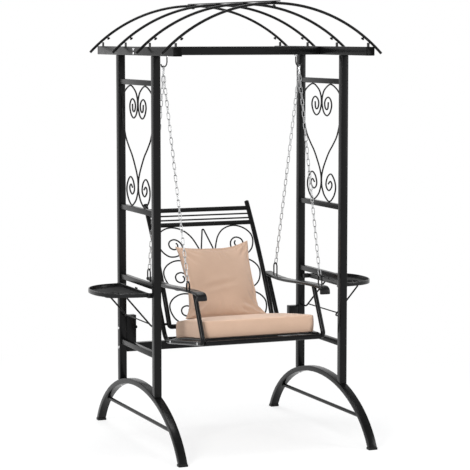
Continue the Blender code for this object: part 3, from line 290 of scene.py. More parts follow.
def weave_group():
    """Plain weave: two crossing sets of yarns, over and under each other, with uneven yarns."""
    tree, given = new_group("plain_weave", {"Yarns per metre": YARNS}, ("Height", "Shade", "Clouds"))
    waves = []
    for axis in ("X", "Y"):
        along = part_of(tree, given["Place"], axis)
        turns = maths(tree, "MULTIPLY", along, given["Yarns per metre"])
        waves.append(maths(tree, "SINE", maths(tree, "MULTIPLY", turns, math.pi)))
    over = maths(tree, "MULTIPLY", *waves)
    slubs = noise_of(tree, given["Place"], YARN_SLUBS)
    add_node(tree, "NodeGroupOutput", (
        ("Height", maths(tree, "MULTIPLY_ADD", over, YARN_RISE, slubs)),
        ("Shade", scaled(tree, over, BOTH_WAYS, UNIT)),
        ("Clouds", noise_of(tree, given["Place"], CLOTH_CLOUDS, detail=4.0))))
    return tree


def wear_group():
    """Handling marks: fine scratches along the metal and dull patches."""
    tree, given = new_group("rubbed_metal", {}, ("Marks", "Patches"))
    drawn = add_node(tree, "ShaderNodeMapping", (
        ("Vector", given["Place"]), ("Scale", (1.0, 1.0, MARK_DRAW))))
    add_node(tree, "NodeGroupOutput", (
        ("Marks", noise_of(tree, drawn.outputs["Vector"], RUB_MARKS, detail=2.0)),
        ("Patches", noise_of(tree, given["Place"], RUB_PATCHES, detail=4.0))))
    return tree


GROUPS = {"coat": coat_group(), "weave": weave_group(), "wear": wear_group()}


# Materials
def new_material(name, colour, roughness, metallic=0.0, specular=0.5):
    """A material with its tree and its Principled shader, set to plain values."""
    material = bpy.data.materials.new(name)
    material.use_nodes = True
    tree = material.node_tree
    shader = tree.nodes["Principled BSDF"]
    shader.inputs["Base Color"].default_value = (*colour, 1)
    shader.inputs["Roughness"].default_value = roughness
    shader.inputs["Metallic"].default_value = metallic
    shader.inputs["Specular IOR Level"].default_value = specular
    return material, tree, shader


def group_at(tree, key, place, **values):
    """What a shader group puts out at a place."""
    inputs = [(label.replace("_", " "), value) for label, value in values.items()]
    return add_node(tree, "ShaderNodeGroup", [("Place", place)] + inputs, node_tree=GROUPS[key]).outputs


def own_place(tree):
    """A point's place on its own object, which stays with the piece."""
    return tree.nodes.new("ShaderNodeTexCoord").outputs["Object"]


def feed_shader(tree, shader, colour, height, bump, bump_height, rough=None):
    """The shader's changing colour, its bumps and, where it changes too, its roughness."""
    lifted = add_node(tree, "ShaderNodeBump", (
        ("Height", height), ("Strength", bump), ("Distance", bump_height)))
    tree.links.new(colour, shader.inputs["Base Color"])
    tree.links.new(lifted.outputs["Normal"], shader.inputs["Normal"])
    if rough:
        tree.links.new(rough, shader.inputs["Roughness"])


def coated(name, colour, roughness, spread, grain=COAT_GRAIN, dust=COAT_DUST, peel=0.25, specular=0.5,
           level_rough=0.0):
    """Black powder coat or moulded plastic, which may be rougher by an amount on level faces."""
    material, tree, shader = new_material(name, colour, roughness, specular=specular)
    coat = group_at(tree, "coat", own_place(tree), Grain=grain, Dust=dust)
    rough = scaled(tree, coat["Gloss"], BOTH_WAYS, (roughness - spread, roughness + spread))
    if level_rough:
        rough = maths(tree, "ADD", rough, scaled(tree, upward(tree), NEARLY_LEVEL, (0.0, level_rough)))
    feed_shader(tree, shader, mixed(tree, coat["Dust"], colour, DUST_COLOUR), coat["Height"], peel,
                PEEL_HEIGHT, rough)
    return material


def bare_metal(name, colour, roughness):
    """Zinc-plated wire and bolts."""
    material, tree, shader = new_material(name, colour, roughness, metallic=1.0)
    wear = group_at(tree, "wear", own_place(tree))
    dull = tuple(DULL_SHARE * part for part in colour)
    patched = mixed(tree, scaled(tree, wear["Patches"], PATCH_RANGE, UNIT), dull, colour)
    rough = scaled(tree, wear["Marks"], UNIT, (roughness - MARK_SMOOTHER, roughness + MARK_ROUGHER))
    feed_shader(tree, shader, patched, wear["Marks"], MARK_BUMP, MARK_HEIGHT, rough)
    return material


def cloth_finish(name, colour, deep):
    """Woven fabric on the piece's own UV map, which is in metres."""
    material, tree, shader = new_material(name, colour, CLOTH_ROUGH, specular=CLOTH_SPECULAR)
    shader.inputs["Sheen Weight"].default_value = SHEEN
    shader.inputs["Sheen Roughness"].default_value = SHEEN_ROUGH
    place = add_node(tree, "ShaderNodeUVMap", uv_map="cloth").outputs["UV"]
    weave = group_at(tree, "weave", place, Yarns_per_metre=YARNS)
    yarn = mixed(tree, scaled(tree, weave["Shade"], UNIT, YARN_SHADE), colour, deep)
    tint = mixed(tree, scaled(tree, weave["Clouds"], CLOUD_RANGE, UNIT), CLOUD_TINT, PURE_WHITE)
    woven = mixed(tree, 1.0, yarn, tint, "MULTIPLY")
    feed_shader(tree, shader, woven, weave["Height"], WEAVE_BUMP, YARN_HEIGHT)
    return material


COAT = coated("black_powder_coat", (0.0056, 0.0056, 0.0058), roughness=0.25, spread=0.04, dust=0.008,
              peel=0.08, specular=0.15)
WIRE_COAT = coated("black_wire_coat", (0.0035, 0.0035, 0.0035), roughness=0.32, spread=0.04, grain=1100.0,
                   dust=0.02, specular=0.14)
MOULDED = coated("black_moulded_plastic", (0.0060, 0.0060, 0.0064), roughness=0.24, spread=0.04,
                 grain=1500.0, dust=0.02, peel=0.08, specular=0.26)
TRAY_PLASTIC = coated("black_tray_plastic", (0.0060, 0.0060, 0.0063), roughness=0.24, spread=0.04,
                      grain=1300.0, dust=0.02, peel=0.12, specular=0.26, level_rough=0.36)
FOOT = coated("black_foot_plastic", (0.0060, 0.0060, 0.0060), roughness=0.45, spread=0.06, grain=900.0,
              dust=0.20, specular=0.20)
GLOSSY_LIP = coated("black_rolled_rim", (0.0040, 0.0040, 0.0042), roughness=0.12, spread=0.02, grain=900.0,
                    dust=0.0, peel=0.03)
END_CAP = coated("black_end_plug", (0.0016, 0.0016, 0.0016), roughness=0.40, spread=0.05, grain=900.0,
                 dust=0.0, specular=0.08)
ZINC = bare_metal("zinc_plate", (0.54, 0.545, 0.55), roughness=0.34)
BOLT = bare_metal("plated_bolt", (0.72, 0.72, 0.73), roughness=0.26)
FABRIC = cloth_finish("beige_seat_fabric", (0.690, 0.478, 0.352), deep=(0.530, 0.350, 0.248))
# A seam cord whose dark brown is painted shadow: it stands for the contact shadow where the pillow meets the
# cushion
PAINTED_SHADOW_SEAM = cloth_finish("seam_thread_painted_shadow", (0.110, 0.060, 0.038), deep=(0.070, 0.038, 0.024))
# The seat fabric darkened as a whole for the pillow: painted shade, because the tilted pillow takes less
# light than the seat
PILLOW_FABRIC_PAINTED_SHADE = cloth_finish("beige_pillow_fabric_painted_shade", (0.585, 0.405, 0.300), deep=(0.450, 0.298, 0.212))


# Pieces
def place_piece(item, body, replaced=()):
    """Let a finished piece ride on its body, in place of the solids that it stands for."""
    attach(item, body)
    if replaced:
        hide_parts(*replaced)
    return item


def mesh_piece(name, bm, finish, sharp=SHARP_ANGLE):
    """An object of a finished mesh, smooth but for edges sharper than an angle."""
    mesh = bpy.data.meshes.new(name)
    bm.to_mesh(mesh)
    bm.free()
    mesh.materials.append(finish)
    mesh.shade_smooth()
    mesh.set_sharp_from_angle(angle=math.radians(sharp))
    item = bpy.data.objects.new(name, mesh)
    bpy.context.scene.collection.objects.link(item)
    return item


def made_plain(item, name, finish):
    """The object's evaluated mesh as a plain object in its place."""
    graph = bpy.context.evaluated_depsgraph_get()
    mesh = bpy.data.meshes.new_from_object(item.evaluated_get(graph), depsgraph=graph)
    bpy.data.objects.remove(item)
    mesh.name = name
    mesh.materials.clear()
    mesh.materials.append(finish)
    mesh.shade_smooth()
    mesh.set_sharp_from_angle(angle=math.radians(SHARP_ANGLE))
    made = bpy.data.objects.new(name, mesh)
    bpy.context.scene.collection.objects.link(made)
    return made


def eased_copy(node, name, finish, edge, steps=3):
    """A CAD solid with its long edges eased, as on drawn tube and moulded parts."""
    bm = bmesh.new()
    bm.from_mesh(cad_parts[node].data)
    bmesh.ops.remove_doubles(bm, verts=bm.verts, dist=MERGE_GAP)
    bmesh.ops.dissolve_limit(bm, angle_limit=math.radians(FLAT_ANGLE), verts=bm.verts, edges=bm.edges)
    item = mesh_piece(name, bm, finish)
    bevel = item.modifiers.new("eased_edges", "BEVEL")
    bevel.width = edge
    bevel.segments = steps
    bevel.limit_method = "ANGLE"
    bevel.angle_limit = math.radians(EASE_ANGLE)
    bevel.harden_normals = False
    return made_plain(item, name, finish)


# Geometry nodes
def new_tree(name, **inputs):
    """An empty geometry tree with its inputs, each a label and the kind of its socket."""
    tree = bpy.data.node_groups.new(name, "GeometryNodeTree")
    sockets = {}
    for label, kind in inputs.items():
        socket = tree.interface.new_socket(label, in_out="INPUT", socket_type="NodeSocket" + kind)
        sockets[label] = socket.identifier
    tree.interface.new_socket("Result", in_out="OUTPUT", socket_type="NodeSocketGeometry")
    return tree, tree.nodes.new("NodeGroupInput").outputs, sockets


def finish_tree(tree, given, shape):
    """Realize the copies, give them their material and put them out."""
    real = add_node(tree, "GeometryNodeRealizeInstances", (("Geometry", shape),))
    paint = add_node(tree, "GeometryNodeSetMaterial", (
        ("Geometry", real.outputs[0]), ("Material", given["Finish"])))
    add_node(tree, "NodeGroupOutput", ((0, paint.outputs[0]),))


def put_copies(tree, given, shape, points, turn, size=1.0):
    """Copies of an object on points, each with its turn and size."""
    item = add_node(tree, "GeometryNodeObjectInfo", (("Object", shape),))
    size = size if isinstance(size, bpy.types.NodeSocket) else (size, size, size)
    copies = add_node(tree, "GeometryNodeInstanceOnPoints", (
        ("Points", points), ("Instance", item.outputs["Geometry"]), ("Rotation", turn), ("Scale", size)))
    finish_tree(tree, given, copies.outputs[0])


def rod_tree():
    """A round rod on every path; a point's radius is the rod's radius there."""
    tree, given, sockets = new_tree("round_rod_on_path", Path="Geometry", Sides="Int", Finish="Material")
    ring = add_node(tree, "GeometryNodeCurvePrimitiveCircle", (
        ("Resolution", given["Sides"]), ("Radius", 1.0)))
    radius = tree.nodes.new("GeometryNodeInputRadius").outputs[0]
    sweep = add_node(tree, "GeometryNodeCurveToMesh", (
        ("Curve", given["Path"]), ("Profile Curve", ring.outputs["Curve"]), ("Scale", radius),
        ("Fill Caps", True)))
    finish_tree(tree, given, sweep.outputs["Mesh"])
    return tree, sockets


def link_tree():
    """Chain links at even steps along a straight path, each a quarter turn from the last."""
    tree, given, sockets = new_tree("chain_links_on_path", Path="Geometry", Links="Int", Link="Object",
                                    Finish="Material")
    spots = add_node(tree, "GeometryNodeCurveToPoints", (
        ("Curve", given["Path"]), ("Count", given["Links"])), mode="COUNT")
    along = add_node(tree, "FunctionNodeAlignRotationToVector", (
        ("Vector", spots.outputs["Tangent"]),), axis="Z")
    across = add_node(tree, "FunctionNodeAlignRotationToVector", (
        ("Rotation", along.outputs[0]), ("Vector", X_AXIS)), axis="X", pivot_axis="Z")
    index = tree.nodes.new("GeometryNodeInputIndex").outputs[0]
    odd = add_node(tree, "FunctionNodeIntegerMath", ((0, index), (1, 2)), operation="MODULO")
    quarter = maths(tree, "MULTIPLY", odd.outputs[0], math.pi / 2)
    turn = add_node(tree, "FunctionNodeAxisAngleToRotation", (("Axis", Z_AXIS), ("Angle", quarter)))
    turned = add_node(tree, "FunctionNodeRotateRotation", (
        ("Rotation", across.outputs[0]), ("Rotate By", turn.outputs[0])), rotation_space="LOCAL")
    put_copies(tree, given, given["Link"], spots.outputs["Points"], turned.outputs[0])
    return tree, sockets


def fastener_tree():
    """One shape on each point, turned so that its Z axis follows the point's aim."""
    tree, given, sockets = new_tree("fasteners_on_points", Points="Geometry", Shape="Object",
                                    Finish="Material")
    aim, size = [add_node(tree, "GeometryNodeInputNamedAttribute", (("Name", label),),
                          data_type=kind).outputs[0]
                 for label, kind in (("aim", "FLOAT_VECTOR"), ("size", "FLOAT"))]
    turn = add_node(tree, "FunctionNodeAlignRotationToVector", (("Vector", aim),), axis="Z")
    put_copies(tree, given, given["Shape"], given["Points"], turn.outputs[0], size)
    return tree, sockets


TREES = {"rod": rod_tree(), "links": link_tree(), "fasteners": fastener_tree()}


def grown(item, key, name, finish, **values):
    """Run a tree on an object and keep the result as a plain mesh."""
    tree, sockets = TREES[key]
    tool = item.modifiers.new(key, "NODES")
    tool.node_group = tree
    for label, value in values.items():
        tool[sockets[label]] = value
    tool[sockets["Finish"]] = finish
    return made_plain(item, name, finish)


def path_object(name, paths):
    """A curve object with one poly line for each (points, radius, closed)."""
    curve = bpy.data.curves.new(name, "CURVE")
    curve.dimensions = "3D"
    for points, radius, closed in paths:
        line = curve.splines.new("POLY")
        line.points.add(len(points) - 1)
        line.use_cyclic_u = closed
        for spot, point in zip(line.points, points):
            spot.co = (*point, 1)
            spot.radius = radius
    item = bpy.data.objects.new(name, curve)
    bpy.context.scene.collection.objects.link(item)
    return item


def rods(name, paths, finish, sides=20):
    """Round rods: each path is its points and its radius, and may say that it closes."""
    full = [(*path, False) if len(path) == 2 else path for path in paths]
    return grown(path_object(name, full), "rod", name, finish, Sides=sides)


def straight_rod(node):
    """The two ends and the radius of a CAD rod that lies along an axis."""
    low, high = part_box(node)
    size = high - low
    k = max(range(3), key=lambda i: size[i])
    start, end = (low + high) / 2, (low + high) / 2
    start[k], end[k] = low[k], high[k]
    return (start, end), sorted(size)[1] / 2


# Stand
def make_square_tubes():
    """Posts, rails, beams and arches with eased edges, their caps, and the round foot braces."""
    eased = (("front_post", POST_EASE), ("rear_post", POST_EASE), ("low_rail", RAIL_EASE),
             ("panel_rail", RAIL_EASE), ("tray_rail", RAIL_EASE), ("upper_rail", RAIL_EASE),
             ("top_beam", BEAM_EASE), ("foot_arch", ARCH_EASE))
    for side, _ in SIDES:
        for part, edge in eased:
            node = f"{side}_{part}"
            place_piece(eased_copy(node, node + "_tube", COAT, edge), "stand", (node,))
        for end, _ in ENDS:
            node = f"{side}_{end}_foot_cap"
            place_piece(eased_copy(node, node + "_moulding", FOOT, CAP_EASE), "stand", (node,))
        node = side + "_foot_brace"
        path, radius = straight_rod(node)
        place_piece(rods(node + "_tube", [(path, radius)], COAT), "stand", (node,))
    for node, edge in (("rear_lower_beam", LOWER_BEAM_EASE), ("top_crossbeam", CROSSBEAM_EASE),
                       ("roof_ridge_bar", RIDGE_EASE)):
        place_piece(eased_copy(node, node + "_tube", COAT, edge), "stand", (node,))


def square_ring(centre, half, corner, steps=5):
    """A square with round corners, across Y."""
    ring = []
    for k, (sx, sz) in enumerate(((1, 1), (-1, 1), (-1, -1), (1, -1))):
        for i in range(steps):
            angle = math.pi / 2 * (k + i / (steps - 1))
            ring.append(centre + Vector((sx * (half - corner) + corner * math.cos(angle), 0,
                                         sz * (half - corner) + corner * math.sin(angle))))
    return ring


def make_beam_caps():
    """Black plastic plugs in both ends of the top beams."""
    for side, sign in SIDES:
        for end, way in ENDS:
            foot = Vector((sign * POST_X, way * BEAM_LENGTH / 2, BEAM_TOP - BEAM / 2))
            rings = [square_ring(foot + Y_AXIS * way * out, BEAM / 2 - inset, PLUG_CORNER)
                     for out, inset in PLUG_RINGS]
            bm = bmesh.new()
            skin(bm, rings)
            item = mesh_piece(f"{side}_{end}_beam_cap", bm, END_CAP, sharp=40.0)
            place_piece(item, "stand")


def bow_circle():
    """Radius of the bows' middle line and the height of its apex."""
    return (POST_X ** 2 + BOW_RISE ** 2) / (2 * BOW_RISE), BEAM_TOP + BOW_LIFT + BOW_RISE


def bow_places():
    """Where the four bows stand along the beams, from the front."""
    end = BEAM_LENGTH / 2 - BOW_INSET
    return -end, -end / 3, end / 3, end


def bow_path(y, steps=56):
    radius, apex = bow_circle()
    reach = math.asin(BOW_HALF_SPAN / radius)
    angles = [reach * (2 * i / steps - 1) for i in range(steps + 1)]
    return [Vector((radius * math.sin(a), y, apex - radius * (1 - math.cos(a)))) for a in angles]


def make_roof():
    """Four bent round tubes over the top beams."""
    for name, y in zip(("front", "front_middle", "rear_middle", "rear"), bow_places()):
        node = f"roof_bow_{name}"
        item = rods(node + "_tube", [(bow_path(y), BOW_TUBE)], COAT, sides=18)
        place_piece(item, "stand", (node,))


def panel_shares():
    """The end panel's wire as shares of half its width and of its height, from curl to curl."""
    upper_curl = [(0.33, 0.848), (0.31, 0.797), (0.24, 0.784), (0.17, 0.800), (0.14, 0.838), (0.20, 0.873),
                  (0.33, 0.890), (0.45, 0.868), (0.50, 0.820), (0.42, 0.762), (0.27, 0.732), (0.12, 0.752)]
    lobe = [(0.030, 0.80), (0.0, 0.85), (0.032, 0.905), (0.15, 0.957), (0.43, 1.0), (0.72, 0.970),
            (0.92, 0.915), (1.0, 0.82), (0.93, 0.70), (0.79, 0.575), (0.58, 0.490), (0.37, 0.420),
            (0.17, 0.328), (0.055, 0.262), (0.0, 0.205), (0.0, 0.14)]
    lower_curl = [(0.05, 0.092), (0.16, 0.042), (0.39, 0.0), (0.60, 0.040), (0.72, 0.110), (0.68, 0.180),
                  (0.50, 0.236), (0.32, 0.212), (0.23, 0.152), (0.27, 0.112), (0.39, 0.094), (0.51, 0.122),
                  (0.53, 0.155), (0.45, 0.174), (0.35, 0.150)]
    return upper_curl + lobe + lower_curl


def make_scroll_panels():
    """Two mirrored bent wires in each end of the stand."""
    low, high = PANEL_RAIL_Z + RAIL / 2 + WIRE, UPPER_RAIL_Z - RAIL / 2 - WIRE
    near, far = WIRE * WIRE_GAP_SHARE, POST_Y - POST / 2 - WIRE
    for side, sign in SIDES:
        paths = []
        for way in (-1, 1):
            shape = [(sign * POST_X, way * (near + across * (far - near)), low + up * (high - low))
                     for across, up in panel_shares()]
            paths.append((smooth(shape, 8), WIRE))
        item = rods(side + "_scroll_panel_wire", paths, WIRE_COAT, sides=12)
        place_piece(item, "stand", (side + "_scroll_panel",))


def hook_shares():
    """A hook's bend from its shank to its tip, as shares of the shank's offset and the bend's height."""
    return [(-1.0, 1.0), (-1.0, 0.80), (-0.86, 0.40), (-0.50, 0.12), (0.0, 0.0), (0.39, 0.08), (0.58, 0.30),
            (0.61, 0.47)]


def make_hooks():
    """The bent rods under the crossbeam that carry the chains."""
    low = HOOK_BOTTOM_Z + HOOK_ROD
    for side, sign in SIDES:
        bend = [(sign * (HOOK_X + across * HOOK_SHANK), HOOK_Y, low + up * HOOK_BEND_HEIGHT)
                for across, up in hook_shares()]
        top = Vector((sign * (HOOK_X - HOOK_SHANK), HOOK_Y, BEAM_TOP - BEAM))
        item = rods(side + "_hook_rod", [([top] + smooth(bend, 6), HOOK_ROD)], COAT, sides=14)
        place_piece(item, "stand", (side + "_hook",))


def link_shape(name, length, half_width, wire, sides=8):
    """A stadium-shaped link round the origin, long along Z, in the XZ plane."""
    straight = length / 2 - half_width
    path = []
    for turn, z in ((0, straight), (1, -straight)):
        for i in range(9):
            angle = math.pi * (turn + i / 8)
            path.append(Vector((half_width * math.cos(angle), 0, z + half_width * math.sin(angle))))
    return rods(name, [(path, wire, True)], ZINC, sides=sides)


def loop_middles(sign):
    """Middles of the bends of an armrest's two chain loops, front and rear."""
    return [Vector((sign * LOOP_X, ARMREST_REAR_Y - share * ARMREST_LENGTH,
                    LOOP_TOP - LOOP_ROD - LOOP_HALF_WIDTH)) for share in LOOP_SHARES]


def make_chains():
    """Each chain runs from its hook to its loop: one long end link, then the even links."""
    for side, sign in SIDES:
        for (end, way), middle in zip(ENDS, loop_middles(sign)):
            rod = Vector((sign * HOOK_X + way * CHAIN_SHIFT, HOOK_Y, HOOK_BOTTOM_Z + HOOK_ROD))
            pull = rod - middle
            pull.x = 0
            goal = middle + pull.normalized() * LOOP_HALF_WIDTH
            along = (goal - rod).normalized()
            start = rod - along * (HOOK_ROD + LINK_WIRE + HOOK_AIR)
            whole = (goal - start).length + LOOP_ROD + LINK_WIRE + LOOP_AIR
            pitch = (whole - END_LINK - 2 * LINK_WIRE) / LINK_COUNT
            first = start + along * (LINK_WIRE + END_LINK + pitch / 2)
            final = first + along * pitch * (LINK_COUNT - 1)
            path = path_object("run", [((first, final), 1.0, False)])
            link = link_shape("link", pitch + 2 * LINK_WIRE, LINK_HALF_WIDTH, LINK_WIRE)
            node = f"{side}_{end}_chain"
            item = grown(path, "links", node + "_links", ZINC, Links=LINK_COUNT, Link=link)
            place_piece(item, "swing_seat", (node,))
            bpy.data.objects.remove(link)
            long_link = link_shape(node + "_end_link", END_LINK + 2 * LINK_WIRE, END_HALF_WIDTH,
                                   LINK_WIRE, sides=10)
            across = Matrix.Rotation(math.pi / 2, 4, "Z")
            middle_of_link = Matrix.Translation(start + along * (END_LINK / 2 + LINK_WIRE))
            long_link.data.transform(middle_of_link @ upright(along) @ across)
            place_piece(long_link, "swing_seat")


def upright(along):
    """The turn that takes Z to a direction and keeps X as near the width as it can."""
    z = along.normalized()
    y = z.cross(X_AXIS).normalized()
    x = y.cross(z)
    return Matrix((x, y, z)).transposed().to_4x4()


# Chair
def armrest_row():
    """Middle of the armrest, from its rear end over the arm to its turned-down nose."""
    shares = [(0.0, 0.84), (0.067, 0.59), (0.156, 0.386), (0.26, 0.282), (0.349, 0.31), (0.438, 0.418),
              (0.527, 0.582), (0.616, 0.736), (0.72, 0.886), (0.824, 0.99), (0.913, 1.0), (0.960, 0.960),
              (0.984, 0.80), (0.9975, 0.36), (1.0, -0.20), (0.9995, -0.36)]
    return smooth([(0, ARMREST_REAR_Y - y * ARMREST_LENGTH, ARMREST_LOW_Z + z * ARMREST_RISE)
                   for y, z in shares], 7)


def armrest_z(y):
    """Height of the armrest's middle line behind its nose."""
    return read_row([(spot.y, spot.z) for spot in armrest_row()[:-NOSE_POINTS]], y)


def strap_rings(path, section_at):
    """Rings of a section along a path in a plane across X; the section is told the length gone by."""
    rings, gone = [], 0.0
    last = len(path) - 1
    whole = sum((b - a).length for a, b in zip(path, path[1:]))
    for i, point in enumerate(path):
        tangent = (path[min(i + 1, last)] - path[max(i - 1, 0)]).normalized()
        gone += (point - path[max(i - 1, 0)]).length
        up = tangent.cross(X_AXIS)
        if tangent.y < 0:
            up = -up
        if up.z < 0 and up.y > 0:
            up = -up
        rings.append([point + X_AXIS * a + up * b for a, b in section_at(gone, whole)])
    return rings


def skin(bm, rings):
    """A closed skin over rings of equal counts of points."""
    rows = [[bm.verts.new(point) for point in ring] for ring in rings]
    count = len(rows[0])
    for row, following in zip(rows, rows[1:]):
        for i in range(count):
            j = (i + 1) % count
            bm.faces.new((row[i], row[j], following[j], following[i]))
    bm.faces.new(rows[0][::-1])
    bm.faces.new(rows[-1])
    bmesh.ops.recalc_face_normals(bm, faces=bm.faces)


def armrest_section(gone, whole):
    """A strap with rounded edges; a crease sets off the nose and both ends are rounded over."""
    end = min(gone, whole - gone) / ARMREST_END
    size = math.sqrt(1 - (1 - min(end, 1)) ** 2) * 0.5 + 0.5
    crease = math.exp(-((whole - gone - CREASE_PLACE) / CREASE_WIDTH) ** 2) * CREASE_DEPTH
    half = ARMREST_WIDTH / 2 - ARMREST_END_EASE * (1 - size)
    points = []
    for i in range(ARMREST_SIDES):
        angle = 2 * math.pi * i / ARMREST_SIDES
        c, s = math.cos(angle), math.sin(angle)
        across = math.copysign(abs(c) ** ARMREST_SQUARE, c) * half
        up = math.copysign(abs(s) ** ARMREST_FLAT, s) * ARMREST_THICK / 2 * size
        points.append((across, up - crease if s > 0 else up))
    return points


def make_armrests():
    """The moulded straps and the wire loops in them that the chains hold."""
    for side, sign in SIDES:
        path = [Vector((sign * ARMREST_X, spot.y, spot.z)) for spot in armrest_row()]
        bm = bmesh.new()
        skin(bm, strap_rings(path, armrest_section))
        item = mesh_piece(side + "_armrest_moulding", bm, MOULDED, sharp=60.0)
        place_piece(item, "swing_seat", (side + "_armrest",))
        paths = []
        for middle in loop_middles(sign):
            arc = [middle + LOOP_HALF_WIDTH * Vector((0, math.cos(a), math.sin(a)))
                   for a in [math.pi * i / 16 for i in range(17)]]
            feet = [Vector((spot.x, spot.y, armrest_z(spot.y) - ARMREST_THICK / 4))
                    for spot in (arc[0], arc[-1])]
            paths.append(([feet[0]] + arc + [feet[1]], LOOP_ROD))
        item = rods(side + "_chain_loops", paths, WIRE_COAT, sides=12)
        place_piece(item, "swing_seat")


def make_arm_frames():
    """One bent tube on each side, whose two ends reach up into the armrest."""
    for side, sign in SIDES:
        corners = [Vector((sign * ARM_X, *spot))
                   for spot in (REAR_TOP, REAR_CORNER, FRONT_CORNER, FRONT_TOP)]
        path = rounded(corners, (REAR_BEND, FRONT_BEND))
        for end, before in ((0, 1), (-1, -2)):
            rise = (path[end] - path[before]).normalized()
            path[end] += rise * (armrest_z(path[end].y) - ARMREST_THICK / 4 - path[end].z) / rise.z
        item = rods(side + "_arm_tube", [(path, TUBE)], COAT, sides=28)
        place_piece(item, "swing_seat", (side + "_arm_frame",))


def seat_rail_top(y):
    """Height of the top of the dipped seat rails."""
    shares = [(0.0, 0.0), (0.143, 0.162), (0.319, 0.408), (0.493, 0.608), (0.664, 0.746), (0.833, 0.857),
              (1.0, 1.0)]
    return SEAT_REAR_Z + read_row(shares, (SEAT_REAR_Y - y) / SEAT_DEPTH) * SEAT_RISE


def make_seat_frame():
    """Two dipped side rails, the front and rear bars, and the strips under the cushion."""
    for side, sign in SIDES:
        node = side + "_seat_rail"
        low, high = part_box(node)
        x = (low.x + high.x) / 2
        ys = [low.y + (high.y - low.y) * i / 12 for i in range(13)]
        path = smooth([(x, y, seat_rail_top(y) - SEAT_RAIL) for y in ys], 3)
        item = rods(node + "_tube", [(path, SEAT_RAIL)], COAT, sides=20)
        place_piece(item, "swing_seat", (node,))
    for node in ("seat_front_bar", "seat_rear_bar"):
        path, radius = straight_rod(node)
        item = rods(node + "_tube", [(path, radius)], COAT, sides=28)
        place_piece(item, "swing_seat", (node,))
    item = eased_copy("seat_slats", "seat_slats_strip", COAT, SLAT_EASE, steps=2)
    place_piece(item, "swing_seat", ("seat_slats",))


def back_point(x, v):
    """A point of the back's bowed face, v up along it from its bottom rail."""
    tilt = math.radians(BACK_ANGLE)
    share = min(max(v / BACK_HEIGHT, 0), 1)
    bow = 4 * BACK_BOW * share * (1 - share)
    return Vector((x, BACK_BOTTOM_Y + v * math.sin(tilt) - bow, BACK_BOTTOM_Z + v * math.cos(tilt)))


def nearest_on_arm_post(sign, point):
    """The point of an arm frame's rear post that is nearest to a point."""
    foot = Vector((sign * ARM_X, *REAR_CORNER))
    rise = (Vector((sign * ARM_X, *REAR_TOP)) - foot).normalized()
    return foot + rise * (point - foot).dot(rise)


def make_back():
    """The bowed outer tube, its cross rails, and the spacers to the arm frames."""
    steps = 24
    reach = BACK_HEIGHT - BACK_SIDE_V - BACK_TUBE * BACK_TOP_SHARE
    rise = [BACK_SIDE_V + reach * i / steps for i in range(steps + 1)]
    corners = [back_point(-BACK_X, rise[0]), back_point(-BACK_X, BACK_FOOT_V),
               back_point(BACK_X, BACK_FOOT_V), back_point(BACK_X, rise[0])]
    left = [back_point(-BACK_X, v) for v in reversed(rise[1:])]
    right = [back_point(BACK_X, v) for v in rise[1:]]
    paths = [(left + rounded(corners, (BACK_CORNER, BACK_CORNER)) + right, BACK_TUBE)]
    for v, radius in RAIL_VS:
        paths.append(([back_point(-BACK_X, v), back_point(BACK_X, v)], radius))
    for _, sign in SIDES:
        for v in SPACER_VS:
            start = back_point(sign * BACK_X, v)
            goal = nearest_on_arm_post(sign, start)
            paths.append(([start, goal - (goal - start).normalized() * TUBE], SPACER))
    item = rods("back_frame_tubes", paths, COAT, sides=24)
    place_piece(item, "swing_seat", ("back_frame",))


def scroll_shares():
    """A back scroll from its foot to the middle of its curl, across and up, as shares of its box."""
    return [(0.0, -0.06), (0.030, 0.12), (0.10, 0.42), (0.19, 0.68), (0.33, 0.88), (0.51, 0.985),
            (0.69, 0.985), (0.864, 0.87), (0.972, 0.68), (0.983, 0.46), (0.92, 0.22), (0.807, 0.06),
            (0.694, 0.02), (0.558, 0.06), (0.456, 0.20), (0.434, 0.36), (0.479, 0.51), (0.581, 0.595),
            (0.683, 0.56), (0.734, 0.46), (0.717, 0.33), (0.637, 0.265), (0.558, 0.31), (0.536, 0.41),
            (0.565, 0.48)]


def make_back_scrolls():
    """A pointed stem up the middle of the back, and three rows of scrolls on each side of it."""
    top = RAIL_VS[1][0] - RAIL_VS[1][1] - WIRE
    foot = BACK_FOOT_V + BACK_TUBE
    corners = [back_point(-STEM_X, foot), back_point(-STEM_X, STEM_KNEE_V), back_point(0, top),
               back_point(STEM_X, STEM_KNEE_V), back_point(STEM_X, foot)]
    bent = rounded(corners, (STEM_BEND, STEM_TIP, STEM_BEND), 8)
    lower = [foot + (STEM_KNEE_V - STEM_BEND - foot) * i / 14 for i in range(14)]
    stem = [back_point(-STEM_X, v) for v in lower] + bent[1:-1]
    stem += [back_point(STEM_X, v) for v in reversed(lower)]
    paths = [(stem, WIRE)]
    far = BACK_X - BACK_TUBE - WIRE
    for row in range(SCROLL_ROWS):
        low = SCROLL_TOP_V - SCROLL_HEIGHT - row * SCROLL_PITCH
        flat = smooth([(STEM_X + across * (far - STEM_X), low + up * SCROLL_HEIGHT, 0)
                       for across, up in scroll_shares()], 8)
        for way in (-1, 1):
            bowed = [back_point(way * spot.x, max(spot.y, foot + WIRE)) for spot in flat]
            paths.append((bowed, WIRE))
    item = rods("back_scroll_wires", paths, WIRE_COAT, sides=12)
    place_piece(item, "swing_seat", ("back_scrollwork",))


# Trays
def tray_outline(sign, inset, z):
    """The tray's straight inner edge and its broad curve outwards, drawn in by an inset."""
    outline = []
    for i in range(TRAY_STEPS + 1):
        angle = math.pi * (i / TRAY_STEPS - 1 / 2)
        c, s = max(math.cos(angle), 0), math.sin(angle)
        size = (c ** TRAY_ROUND_POWER + abs(s) ** TRAY_ROUND_POWER) ** (-1 / TRAY_ROUND_POWER)
        out = max((TRAY_REACH - inset) * c * size, inset)
        outline.append(Vector((sign * (TRAY_EDGE + out), (TRAY_HALF_LENGTH - inset) * s * size, z)))
    return outline


